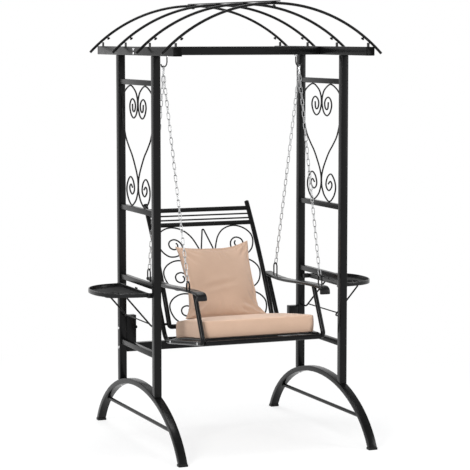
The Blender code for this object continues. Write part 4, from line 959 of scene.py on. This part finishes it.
def make_trays():
    """Each tray with its rolled rim, its wire prop, and the two pins that it turns on."""
    floor = TRAY_TOP - TRAY_RIM
    for side, sign in SIDES:
        node = side + "_tray"
        item = eased_copy(node, node + "_moulding", TRAY_PLASTIC, TRAY_EASE, steps=2)
        place_piece(item, node, (node,))
        lip = tray_outline(sign, TRAY_LIP, TRAY_TOP - TRAY_LIP / 2)
        place_piece(rods(node + "_lip", [(lip, TRAY_LIP, True)], GLOSSY_LIP, sides=14), node)
        tip = Vector((sign * (PROP_X + PROP_REACH), 0, floor))
        foot = Vector((sign * PROP_X, 0, PROP_Z))
        lean = (tip - foot).normalized()
        paths = []
        for way in (-1, 1):
            stub = foot + Y_AXIS * way * (POST_Y - POST / 2)
            knee = foot + Y_AXIS * way * PROP_HALF
            end = tip + Y_AXIS * way * PROP_HALF - lean * PROP_WIRE
            paths.append((rounded((stub, knee, end), (PROP_BEND,)), PROP_WIRE))
        start = foot + lean * (PROP_BEND + PROP_WIRE)
        paths.append(([start - Y_AXIS * PROP_HALF, start + Y_AXIS * PROP_HALF], CROSS_WIRE))
        item = rods(side + "_tray_prop_wire", paths, WIRE_COAT, sides=12)
        place_piece(item, side + "_prop", (side + "_tray_prop",))
        for end, _ in ENDS:
            node = f"{side}_{end}_tray_pin"
            path, radius = straight_rod(node)
            place_piece(rods(node + "_rod", [(path, radius)], BOLT), "stand", (node,))


# Fasteners
def lathe_head(name, sides, profile):
    """A turned or sided head from (radius, height) pairs, up along Z."""
    turns = [2 * math.pi * i / sides for i in range(sides)]
    bm = bmesh.new()
    skin(bm, [[Vector((radius * math.cos(turn), radius * math.sin(turn), z)) for turn in turns]
              for radius, z in profile])
    return mesh_piece(name, bm, BOLT, sharp=40.0)


def fasteners(name, shape, spots, body, finish):
    """Copies of a head at (place, aim, size)."""
    mesh = bpy.data.meshes.new(name)
    mesh.from_pydata([spot[0] for spot in spots], [], [])
    mesh.attributes.new("aim", "FLOAT_VECTOR", "POINT")
    mesh.attributes.new("size", "FLOAT", "POINT")
    for i, (_, aim, size) in enumerate(spots):
        mesh.attributes["aim"].data[i].vector = aim
        mesh.attributes["size"].data[i].value = size
    item = bpy.data.objects.new(name, mesh)
    bpy.context.scene.collection.objects.link(item)
    place_piece(grown(item, "fasteners", name, finish, Shape=shape), body)


def under_arch(side, sign, y):
    """Where a bolt comes out under a foot arch, and the way that it points."""
    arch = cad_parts[side + "_foot_arch"]
    skin_tree = BVHTree.FromPolygons([arch.matrix_world @ v.co for v in arch.data.vertices],
                                     [list(face.vertices) for face in arch.data.polygons])
    place, normal = skin_tree.ray_cast(Vector((sign * POST_X, y, 0)), Z_AXIS)[:2]
    return place, normal if normal.z < 0 else -normal


def bow_screws():
    """Screws under each bow, beside its tab at both ends and under the ridge bar."""
    radius, apex = bow_circle()
    spots = []
    for y in bow_places():
        for x in (-SCREW_X, 0.0, SCREW_X):
            inward = Vector((-x, 0, -math.sqrt(radius ** 2 - x ** 2))).normalized()
            spot = Vector((0, y, apex - radius)) - inward * (radius - BOW_TUBE * SCREW_SINK)
            spots.append((spot, inward, SCREW_SIZE))
    return spots


def on_both_sides(x, pairs, size=1.0, way=1):
    """A fastener on each side at x and at each pair of y and z, which points outwards or back."""
    return [(Vector((sign * x, y, z)), X_AXIS * sign * way, size) for _, sign in SIDES for y, z in pairs]


def make_fasteners():
    """Bolt heads, nuts, washers, bolt ends, screws and knobs, each copied from a lathed pattern."""
    heads = {name: lathe_head(name, *shape) for name, shape in HEADS.items()}
    under_hook = [(Vector((sign * (HOOK_X - HOOK_SHANK), HOOK_Y, BEAM_TOP - BEAM)), -Z_AXIS, 1.0)
                  for _, sign in SIDES]
    through_arch = [(*under_arch(side, sign, way * POST_Y), ARCH_BOLT_SIZE)
                    for side, sign in SIDES for _, way in ENDS]
    on_stand = on_both_sides(POST_X + BEAM / 2, [(0, z) for z in BEAM_BOLT_ZS])
    on_stand += on_both_sides(POST_X + POST / 2, [(POST_Y, z) for z in BRACKET_BOLT_ZS])
    on_brackets = on_both_sides(POST_X - POST / 2 - BRACKET_WIDTH, [(POST_Y, BRACKET_BOLT_ZS[0])],
                                KNOB_SIZE, way=-1)
    on_arms = on_both_sides(ARM_X + TUBE * ARM_BOLT_SINK, ARM_BOLTS)
    rows = (("arch_bolt_heads", "hexagon", through_arch, "stand"),
            ("stand_bolt_heads", "dome", on_stand, "stand"),
            ("bow_screws", "knob", bow_screws(), "stand"),
            ("hook_nuts", "hexagon", under_hook, "stand"),
            ("hook_ends", "shank", under_hook, "stand"),
            ("bracket_knobs", "knob", on_brackets, "stand"),
            ("hook_washers", "washer", under_hook, "stand"),
            ("chair_bolt_heads", "dome", on_arms, "swing_seat"))
    for name, head, spots, body in rows:
        slot, finish = ("stand_frame", WIRE_COAT) if head == "knob" else ("pin", BOLT)
        fasteners(name, heads[head], spots, body, finish)
    for head in heads.values():
        bpy.data.objects.remove(head)


# Cushions
def add_cloth_map(item, along, across):
    """A UV map in metres, from the two directions that lie best in each face."""
    mesh = item.data
    layer = mesh.uv_layers.new(name="cloth")
    out = along.cross(across).normalized()
    for face in mesh.polygons:
        weights = [abs(face.normal.dot(axis)) for axis in (along, across, out)]
        pair = ((across, out), (along, out), (along, across))[weights.index(max(weights))]
        for k in face.loop_indices:
            spot = mesh.vertices[mesh.loops[k].vertex_index].co
            layer.data[k].uv = (spot.dot(pair[0]), spot.dot(pair[1]))


def puff(item, pressure, reach, held):
    """Cloth under pressure for a moment, held at its seam, with each point kept to a small move."""
    scene = bpy.context.scene
    count = len(item.data.vertices)
    before = np.zeros(count * 3)
    item.data.vertices.foreach_get("co", before)
    tool = item.modifiers.new("cloth", "CLOTH")
    settings = tool.settings
    seam = item.vertex_groups.new(name="seam")
    seam.add(held, 1.0, "REPLACE")
    settings.vertex_group_mass = "seam"
    settings.use_pressure = True
    settings.uniform_pressure_force = pressure
    settings.effector_weights.gravity = 0
    settings.quality = CLOTH_QUALITY
    settings.mass = CLOTH_MASS
    settings.tension_stiffness = settings.compression_stiffness = CLOTH_STRETCH
    settings.shear_stiffness = CLOTH_SHEAR
    settings.bending_stiffness = CLOTH_BEND
    tool.collision_settings.use_collision = False
    for step in range(1, CLOTH_FRAMES + 1):
        scene.frame_set(step)
    graph = bpy.context.evaluated_depsgraph_get()
    puffed = item.evaluated_get(graph).to_mesh()
    after = np.zeros(count * 3)
    puffed.vertices.foreach_get("co", after)
    item.evaluated_get(graph).to_mesh_clear()
    item.modifiers.remove(tool)
    item.vertex_groups.remove(seam)
    scene.frame_set(1)
    move = (after - before).reshape(-1, 3)
    length = np.linalg.norm(move, axis=1, keepdims=True)
    move *= np.minimum(1, reach / np.maximum(length, TINY))
    item.data.vertices.foreach_set("co", (before + move.reshape(-1)))
    item.data.update()


def cushion_base(y):
    """Height of the cushion's underside, on the flats of the eight-sided rails of the solid."""
    return seat_rail_top(y) - SEAT_RAIL * (1 - math.cos(math.pi / 8)) + CUSHION_AIR


def cushion_outline(inset, per_corner=9, per_side=26):
    """The cushion's outline, drawn in by an inset, with round corners and slightly hollow sides."""
    half_x, half_y = CUSHION_HALF - inset, CUSHION_DEPTH / 2 - inset
    radius = max(CUSHION_CORNER - inset, CUSHION_LEAST_CORNER)
    quarters = ((1, 1), (-1, 1), (-1, -1), (1, -1))
    centres = [Vector((sx * (half_x - radius), sy * (half_y - radius), 0)) for sx, sy in quarters]
    points = []
    for k, centre in enumerate(centres):
        angles = [math.pi / 2 * (k + i / (per_corner - 1)) for i in range(per_corner)]
        corner = [centre + radius * Vector((math.cos(a), math.sin(a), 0)) for a in angles]
        last = Vector((math.cos(angles[-1]), math.sin(angles[-1]), 0))
        ahead = centres[(k + 1) % 4] + radius * last
        points += corner
        points += [corner[-1].lerp(ahead, i / (per_side + 1)) for i in range(1, per_side + 1)]
    for spot in points:
        spot.y *= 1 - CUSHION_DRAW * (1 - (spot.x / half_x) ** 2) / half_y
    return points


def cushion_spot(spot, level, crown=0.0):
    """A point of the cushion, level 0 at its underside and 1 at its upper edge, plus a crown."""
    middle = CUSHION_FRONT_Y + CUSHION_DEPTH / 2
    y = middle + spot.y
    return Vector((spot.x, y, cushion_base(y) + level * CUSHION_THICK + crown))


def cushion_crown(inset):
    """How far the top stands over its edge, at a distance in from the outline."""
    return CUSHION_CROWN * (1 - (1 - inset / CUSHION_MIDDLE) ** CROWN_POWER)


def cushion_top(spot):
    """Height of the cushion's crowned top under a point, with a little air."""
    middle, half = CUSHION_FRONT_Y + CUSHION_DEPTH / 2, CUSHION_DEPTH / 2
    inset = min(CUSHION_HALF - abs(spot.x), half - abs(spot.y - middle))
    crown = cushion_crown(min(max(inset, 0), CUSHION_MIDDLE))
    return cushion_base(min(spot.y, middle + half)) + CUSHION_THICK + crown + PILLOW_AIR


def cushion_rings():
    """Level, inset and crown of each ring, from the underside's middle to the top's middle."""
    ease, wall, thick = CUSHION_EASE, CUSHION_WALL, CUSHION_THICK
    turns = [math.pi / 2 * k / 5 for k in range(6)]
    rings = [(0.0, inset, 0.0) for inset in CUSHION_INSETS]
    rings += [(ease * (1 - math.cos(a)) / thick, ease * (1 - math.sin(a)) + wall, 0.0) for a in turns]
    rings += [((ease + (thick - 2 * ease) * k / 8) / thick, wall * (1 - math.sin(math.pi * k / 8)), 0.0)
              for k in range(1, 8)]
    rings += [(1 - ease * (1 - math.sin(a)) / thick, ease * (1 - math.cos(a)) + wall, 0.0) for a in turns]
    return rings + [(1.0, inset, cushion_crown(inset)) for inset in reversed(CUSHION_INSETS)]


def make_seat_cushion():
    """A boxed foam cushion: flat walls, softly crowned top, and a sewn seam round both edges."""
    bm = bmesh.new()
    skin(bm, [[cushion_spot(spot, level, crown) for spot in cushion_outline(inset)]
              for level, inset, crown in cushion_rings()])
    item = mesh_piece("seat_cushion_cover", bm, FABRIC, sharp=70.0)
    add_cloth_map(item, X_AXIS, Y_AXIS)
    place_piece(item, "swing_seat", ("seat_cushion",))
    seam_level = CUSHION_EASE * SEAM_SHARE / CUSHION_THICK
    paths = [([cushion_spot(spot, level) for spot in cushion_outline(SEAM_INSET)], SEAM_CORD, True)
             for level in (seam_level, 1 - seam_level)]
    seam = rods("seat_cushion_seams", paths, FABRIC, sides=8)
    add_cloth_map(seam, X_AXIS, Y_AXIS)
    place_piece(seam, "swing_seat")


def pillow_edges():
    """Left side, right side and top of the cover, across and up from its middle in half sides."""
    left = [(-1.165, -1.025), (-1.065, -0.900), (-0.985, -0.765), (-0.930, -0.610), (-0.880, -0.364),
            (-0.853, 0.055), (-0.871, 0.354), (-0.888, 0.697), (-0.940, 0.938)]
    right = [(0.975, -1.050), (0.792, -0.798), (0.836, -0.463), (0.850, -0.167), (0.864, 0.134),
             (0.896, 0.520), (0.952, 0.824), (0.980, 1.019)]
    top = [(-0.940, 0.938), (-0.783, 0.896), (-0.428, 0.857), (0.090, 0.815), (0.379, 0.840),
           (0.685, 0.911), (0.868, 0.982), (0.980, 1.019)]
    rows = [smooth([(*pair, 0) for pair in row], 5) for row in (left, right, top)]
    return [[(spot.x, spot.y) for spot in row] for row in rows]


def pillow_spot(s, t, edges):
    """Place of a point of the cover between its four edges, by the blend of a Coons patch."""
    left, right, top = edges
    low, high, near, far = (1 - t) / 2, (1 + t) / 2, (1 - s) / 2, (1 + s) / 2
    up_left = left[0][1] * low + left[-1][1] * high
    up_right = right[0][1] * low + right[-1][1] * high
    over = top[0][0] * near + top[-1][0] * far
    sides = [(near, read_row([(v, x) for x, v in left], up_left), up_left),
             (far, read_row([(v, x) for x, v in right], up_right), up_right),
             (low, left[0][0] * near + right[0][0] * far, left[0][1] * near + right[0][1] * far),
             (high, over, read_row(top, over))]
    corners = [(near * low, *left[0]), (far * low, *right[0]), (near * high, *left[-1]),
               (far * high, *right[-1])]
    return [sum(spot[0] * spot[k] for spot in sides) - sum(spot[0] * spot[k] for spot in corners)
            for k in (1, 2)]


def pillow_creases():
    """Soft folds in the cover: start, end (across and up, -1 to 1), half width and depth."""
    return [((0.02, 0.97), (0.10, 0.50), 0.035, 0.0030), ((-0.06, 0.96), (-0.12, 0.62), 0.030, 0.0024),
            ((0.12, 0.95), (0.30, 0.55), 0.035, 0.0026), ((-0.96, 0.93), (-0.55, 0.35), 0.060, 0.0040),
            ((-0.90, 0.97), (-0.35, 0.62), 0.045, 0.0028), ((0.97, 0.95), (0.62, 0.50), 0.055, 0.0040),
            ((0.90, 0.99), (0.45, 0.74), 0.040, 0.0026), ((0.97, -0.93), (0.50, -0.62), 0.060, 0.0055),
            ((0.92, -0.98), (0.30, -0.84), 0.045, 0.0040), ((0.99, -0.80), (0.70, -0.35), 0.045, 0.0050),
            ((0.98, -0.40), (0.78, 0.12), 0.040, 0.0034), ((0.98, -0.92), (0.72, -0.86), 0.035, 0.0050),
            ((-0.96, -0.94), (-0.50, -0.60), 0.060, 0.0050), ((-0.55, -0.30), (0.42, -0.12), 0.075, 0.0035),
            ((-0.20, -0.97), (-0.10, -0.66), 0.040, 0.0026), ((0.25, -0.97), (0.20, -0.72), 0.035, 0.0024),
            ((0.55, -0.96), (0.42, -0.70), 0.035, 0.0028)]


def pillow_swell(s, t, face):
    """How far a side of the cover stands out of its seam: a dome with folds pressed into it."""
    power = FRONT_DOME_POWER if face > 0 else BACK_DOME_POWER
    rise = ((1 - s ** 2) * (1 - t ** 2)) ** power * PILLOW_THICK / 2
    if face < 0:
        return rise * BACK_DOME_SHARE
    rise *= FRONT_DOME_SHARE - FILLING_SAG * t
    point = Vector((s, t, 0))
    for start, end, width, depth in pillow_creases():
        start, way = Vector((*start, 0)), Vector((*end, 0)) - Vector((*start, 0))
        share = min(max((point - start).dot(way) / way.length_squared, 0), 1)
        away = (point - start - way * share).length / width
        fade = math.sin(math.pi * min(CREASE_START + (1 - CREASE_START) * share, 1))
        ridge = CREASE_RIDGE * math.exp(-(away - CREASE_RIDGE_PLACE) ** 2)
        rise -= depth * fade * (math.exp(-away ** 2) - ridge)
    return rise * min(1, (1 - max(abs(s), abs(t))) * SEAM_STEEP)


def settle_pillow(item, centre, along, out):
    """Rest the pillow on the back and on the seat cushion, with its lower part slid forwards."""
    for vert in item.data.vertices:
        depth = (vert.co - centre).dot(out)
        if depth < -PILLOW_THICK * PILLOW_BACK_SHARE:
            vert.co += out * (-PILLOW_THICK * PILLOW_BACK_SHARE - depth)
        down = -(vert.co - centre).dot(along) / PILLOW_HALF
        low = max(down - PILLOW_SLIDE_FROM, 0) / (1 - PILLOW_SLIDE_FROM)
        vert.co.y -= PILLOW_SLIDE * low ** 2
        vert.co.z = max(vert.co.z, cushion_top(vert.co))


def make_back_pillow(cells=64):
    """A knife-edged square pillow with pointed corners, puffed up, leaning on the back."""
    tilt = math.radians(PILLOW_ANGLE)
    along = Vector((0, math.sin(tilt), math.cos(tilt)))
    out = Vector((0, -math.cos(tilt), math.sin(tilt)))
    centre = Vector((PILLOW_X, PILLOW_Y, PILLOW_Z))
    steps = [math.sin(math.pi * (i / cells - 1 / 2)) * 0.5 + (2 * i / cells - 1) * 0.5
             for i in range(cells + 1)]
    edges = pillow_edges()
    places = {(i, j): pillow_spot(s, t, edges)
              for i, s in enumerate(steps) for j, t in enumerate(steps)}
    bm = bmesh.new()
    front, limits = [], []
    for face in (1, -1):
        grid = []
        for i, s in enumerate(steps):
            row = []
            for j, t in enumerate(steps):
                if face < 0 and (i in (0, cells) or j in (0, cells)):
                    row.append(front[i][j])
                    continue
                across, up = places[i, j]
                row.append(bm.verts.new(centre + X_AXIS * (across * PILLOW_HALF)
                                        + along * (up * PILLOW_HALF)
                                        + out * (face * pillow_swell(s, t, face))))
                limits.append(PILLOW_GIVE * min(1, (2 - abs(s) - abs(t)) / EAR_STIFFNESS))
            grid.append(row)
        front = front or grid
        for i in range(cells):
            for j in range(cells):
                bm.faces.new((grid[i][j], grid[i + 1][j], grid[i + 1][j + 1], grid[i][j + 1]))
    bmesh.ops.recalc_face_normals(bm, faces=bm.faces)
    bm.verts.index_update()
    held = [vert.index for i, row in enumerate(front) for j, vert in enumerate(row)
            if i in (0, cells) or j in (0, cells)]
    bottom = [row[0].index for row in front]
    # The cover's fabric is the seat fabric darkened as painted shade
    item = mesh_piece("back_pillow_cover", bm, PILLOW_FABRIC_PAINTED_SHADE, sharp=80.0)
    puff(item, PILLOW_PRESSURE, np.array(limits)[:, None], held)
    settle_pillow(item, centre, along, out)
    sewn = item.data.vertices
    # A dark cord along the bottom seam paints the contact shadow between the pillow and the seat cushion
    shadow_seam_path = [sewn[index].co + out * PAINTED_SHADOW_SEAM_OUT - along * PAINTED_SHADOW_SEAM_DOWN for index in bottom[2:-1]]
    add_cloth_map(item, X_AXIS, along)
    place_piece(item, "swing_seat", ("back_pillow",))
    seam = rods("back_pillow_bottom_seam", [(shadow_seam_path, PAINTED_SHADOW_SEAM_RADIUS)], PAINTED_SHADOW_SEAM, sides=8)
    add_cloth_map(seam, X_AXIS, along)
    place_piece(seam, "swing_seat")


# Studio
def white_where_seen(tree):
    """1 for what the camera sees, itself or in a reflection, and 0 for the light on the object."""
    path = tree.nodes.new("ShaderNodeLightPath").outputs
    mirrored = maths(tree, "MAXIMUM", path["Is Glossy Ray"], path["Is Transmission Ray"])
    return maths(tree, "MAXIMUM", path["Is Camera Ray"], mirrored)


def shader_mix(tree, share, first, second):
    return add_node(tree, "ShaderNodeMixShader", ((0, share), (1, first), (2, second))).outputs[0]


def glow(tree, strength):
    return add_node(tree, "ShaderNodeEmission", (
        ("Color", (*PURE_WHITE, 1)), ("Strength", strength))).outputs[0]


def make_world():
    """Soft light from all round; what is seen or mirrored is white, and darker overhead."""
    world = bpy.data.worlds.new("studio")
    bpy.context.scene.world = world
    world.use_nodes = True
    tree = world.node_tree
    soft = tree.nodes["Background"]
    soft.inputs["Color"].default_value = (*SKY_COLOUR, 1)
    soft.inputs["Strength"].default_value = SKY_STRENGTH
    height = part_of(tree, tree.nodes.new("ShaderNodeTexCoord").outputs["Generated"], "Z")
    shade = mixed(tree, scaled(tree, height, SKY_DARKENS, UNIT), PURE_WHITE, OVERHEAD_GREY)
    white = add_node(tree, "ShaderNodeBackground", (("Color", shade), ("Strength", 1.0)))
    whole = shader_mix(tree, white_where_seen(tree), soft.outputs[0], white.outputs[0])
    tree.links.new(whole, tree.nodes["World Output"].inputs["Surface"])


def make_floor():
    """A pale floor that keeps the shadow near the object and runs out to plain white."""
    bm = bmesh.new()
    bmesh.ops.create_grid(bm, x_segments=1, y_segments=1, size=FLOOR_HALF)
    material = bpy.data.materials.new("white_floor")
    material.use_nodes = True
    tree = material.node_tree
    tree.nodes.remove(tree.nodes["Principled BSDF"])
    matt = add_node(tree, "ShaderNodeBsdfDiffuse", (("Color", FLOOR_COLOUR),)).outputs[0]
    shaded = shader_mix(tree, FLOOR_GLOW_SHARE, matt, glow(tree, FLOOR_GLOW))
    reach = add_node(tree, "ShaderNodeVectorMath", ((0, own_place(tree)),), operation="LENGTH")
    away = scaled(tree, reach.outputs["Value"], FLOOR_FADES, UNIT)
    seen = shader_mix(tree, away, shaded, glow(tree, 1.0))
    whole = shader_mix(tree, white_where_seen(tree), matt, seen)
    tree.links.new(whole, tree.nodes["Material Output"].inputs["Surface"])
    mesh_piece("floor", bm, material)


def make_lights():
    for name, place, aim_z, size, watts in LAMPS:
        lamp = bpy.data.lights.new(name, "AREA")
        lamp.shape = "RECTANGLE"
        lamp.size, lamp.size_y = size
        lamp.energy = watts
        item = bpy.data.objects.new(name, lamp)
        bpy.context.scene.collection.objects.link(item)
        item.location = place
        aim = Vector((0, 0, aim_z)) - Vector(place)
        item.rotation_euler = aim.to_track_quat("-Z", "Y").to_euler()


def make_camera():
    """The photograph's camera, tilted down where the real one had its lens shifted."""
    camera = bpy.data.cameras.new("camera")
    camera.sensor_fit = "HORIZONTAL"
    camera.sensor_width = SENSOR
    camera.lens = FOCAL_PIXELS / PICTURE_PIXELS * SENSOR
    camera.clip_end = 100
    item = bpy.data.objects.new("camera", camera)
    bpy.context.scene.collection.objects.link(item)
    item.location = CAMERA_PLACE
    item.rotation_euler = (math.radians(90 - CAMERA_DIP), 0, math.radians(-CAMERA_TURN))
    bpy.context.scene.camera = item


make_square_tubes()
make_beam_caps()
make_roof()
make_scroll_panels()
make_hooks()
make_chains()
make_armrests()
make_arm_frames()
make_seat_frame()
make_back()
make_back_scrolls()
make_trays()
make_fasteners()
make_seat_cushion()
make_back_pillow()
make_world()
make_floor()
make_lights()
make_camera()
bpy.context.scene.view_settings.view_transform = "Standard"
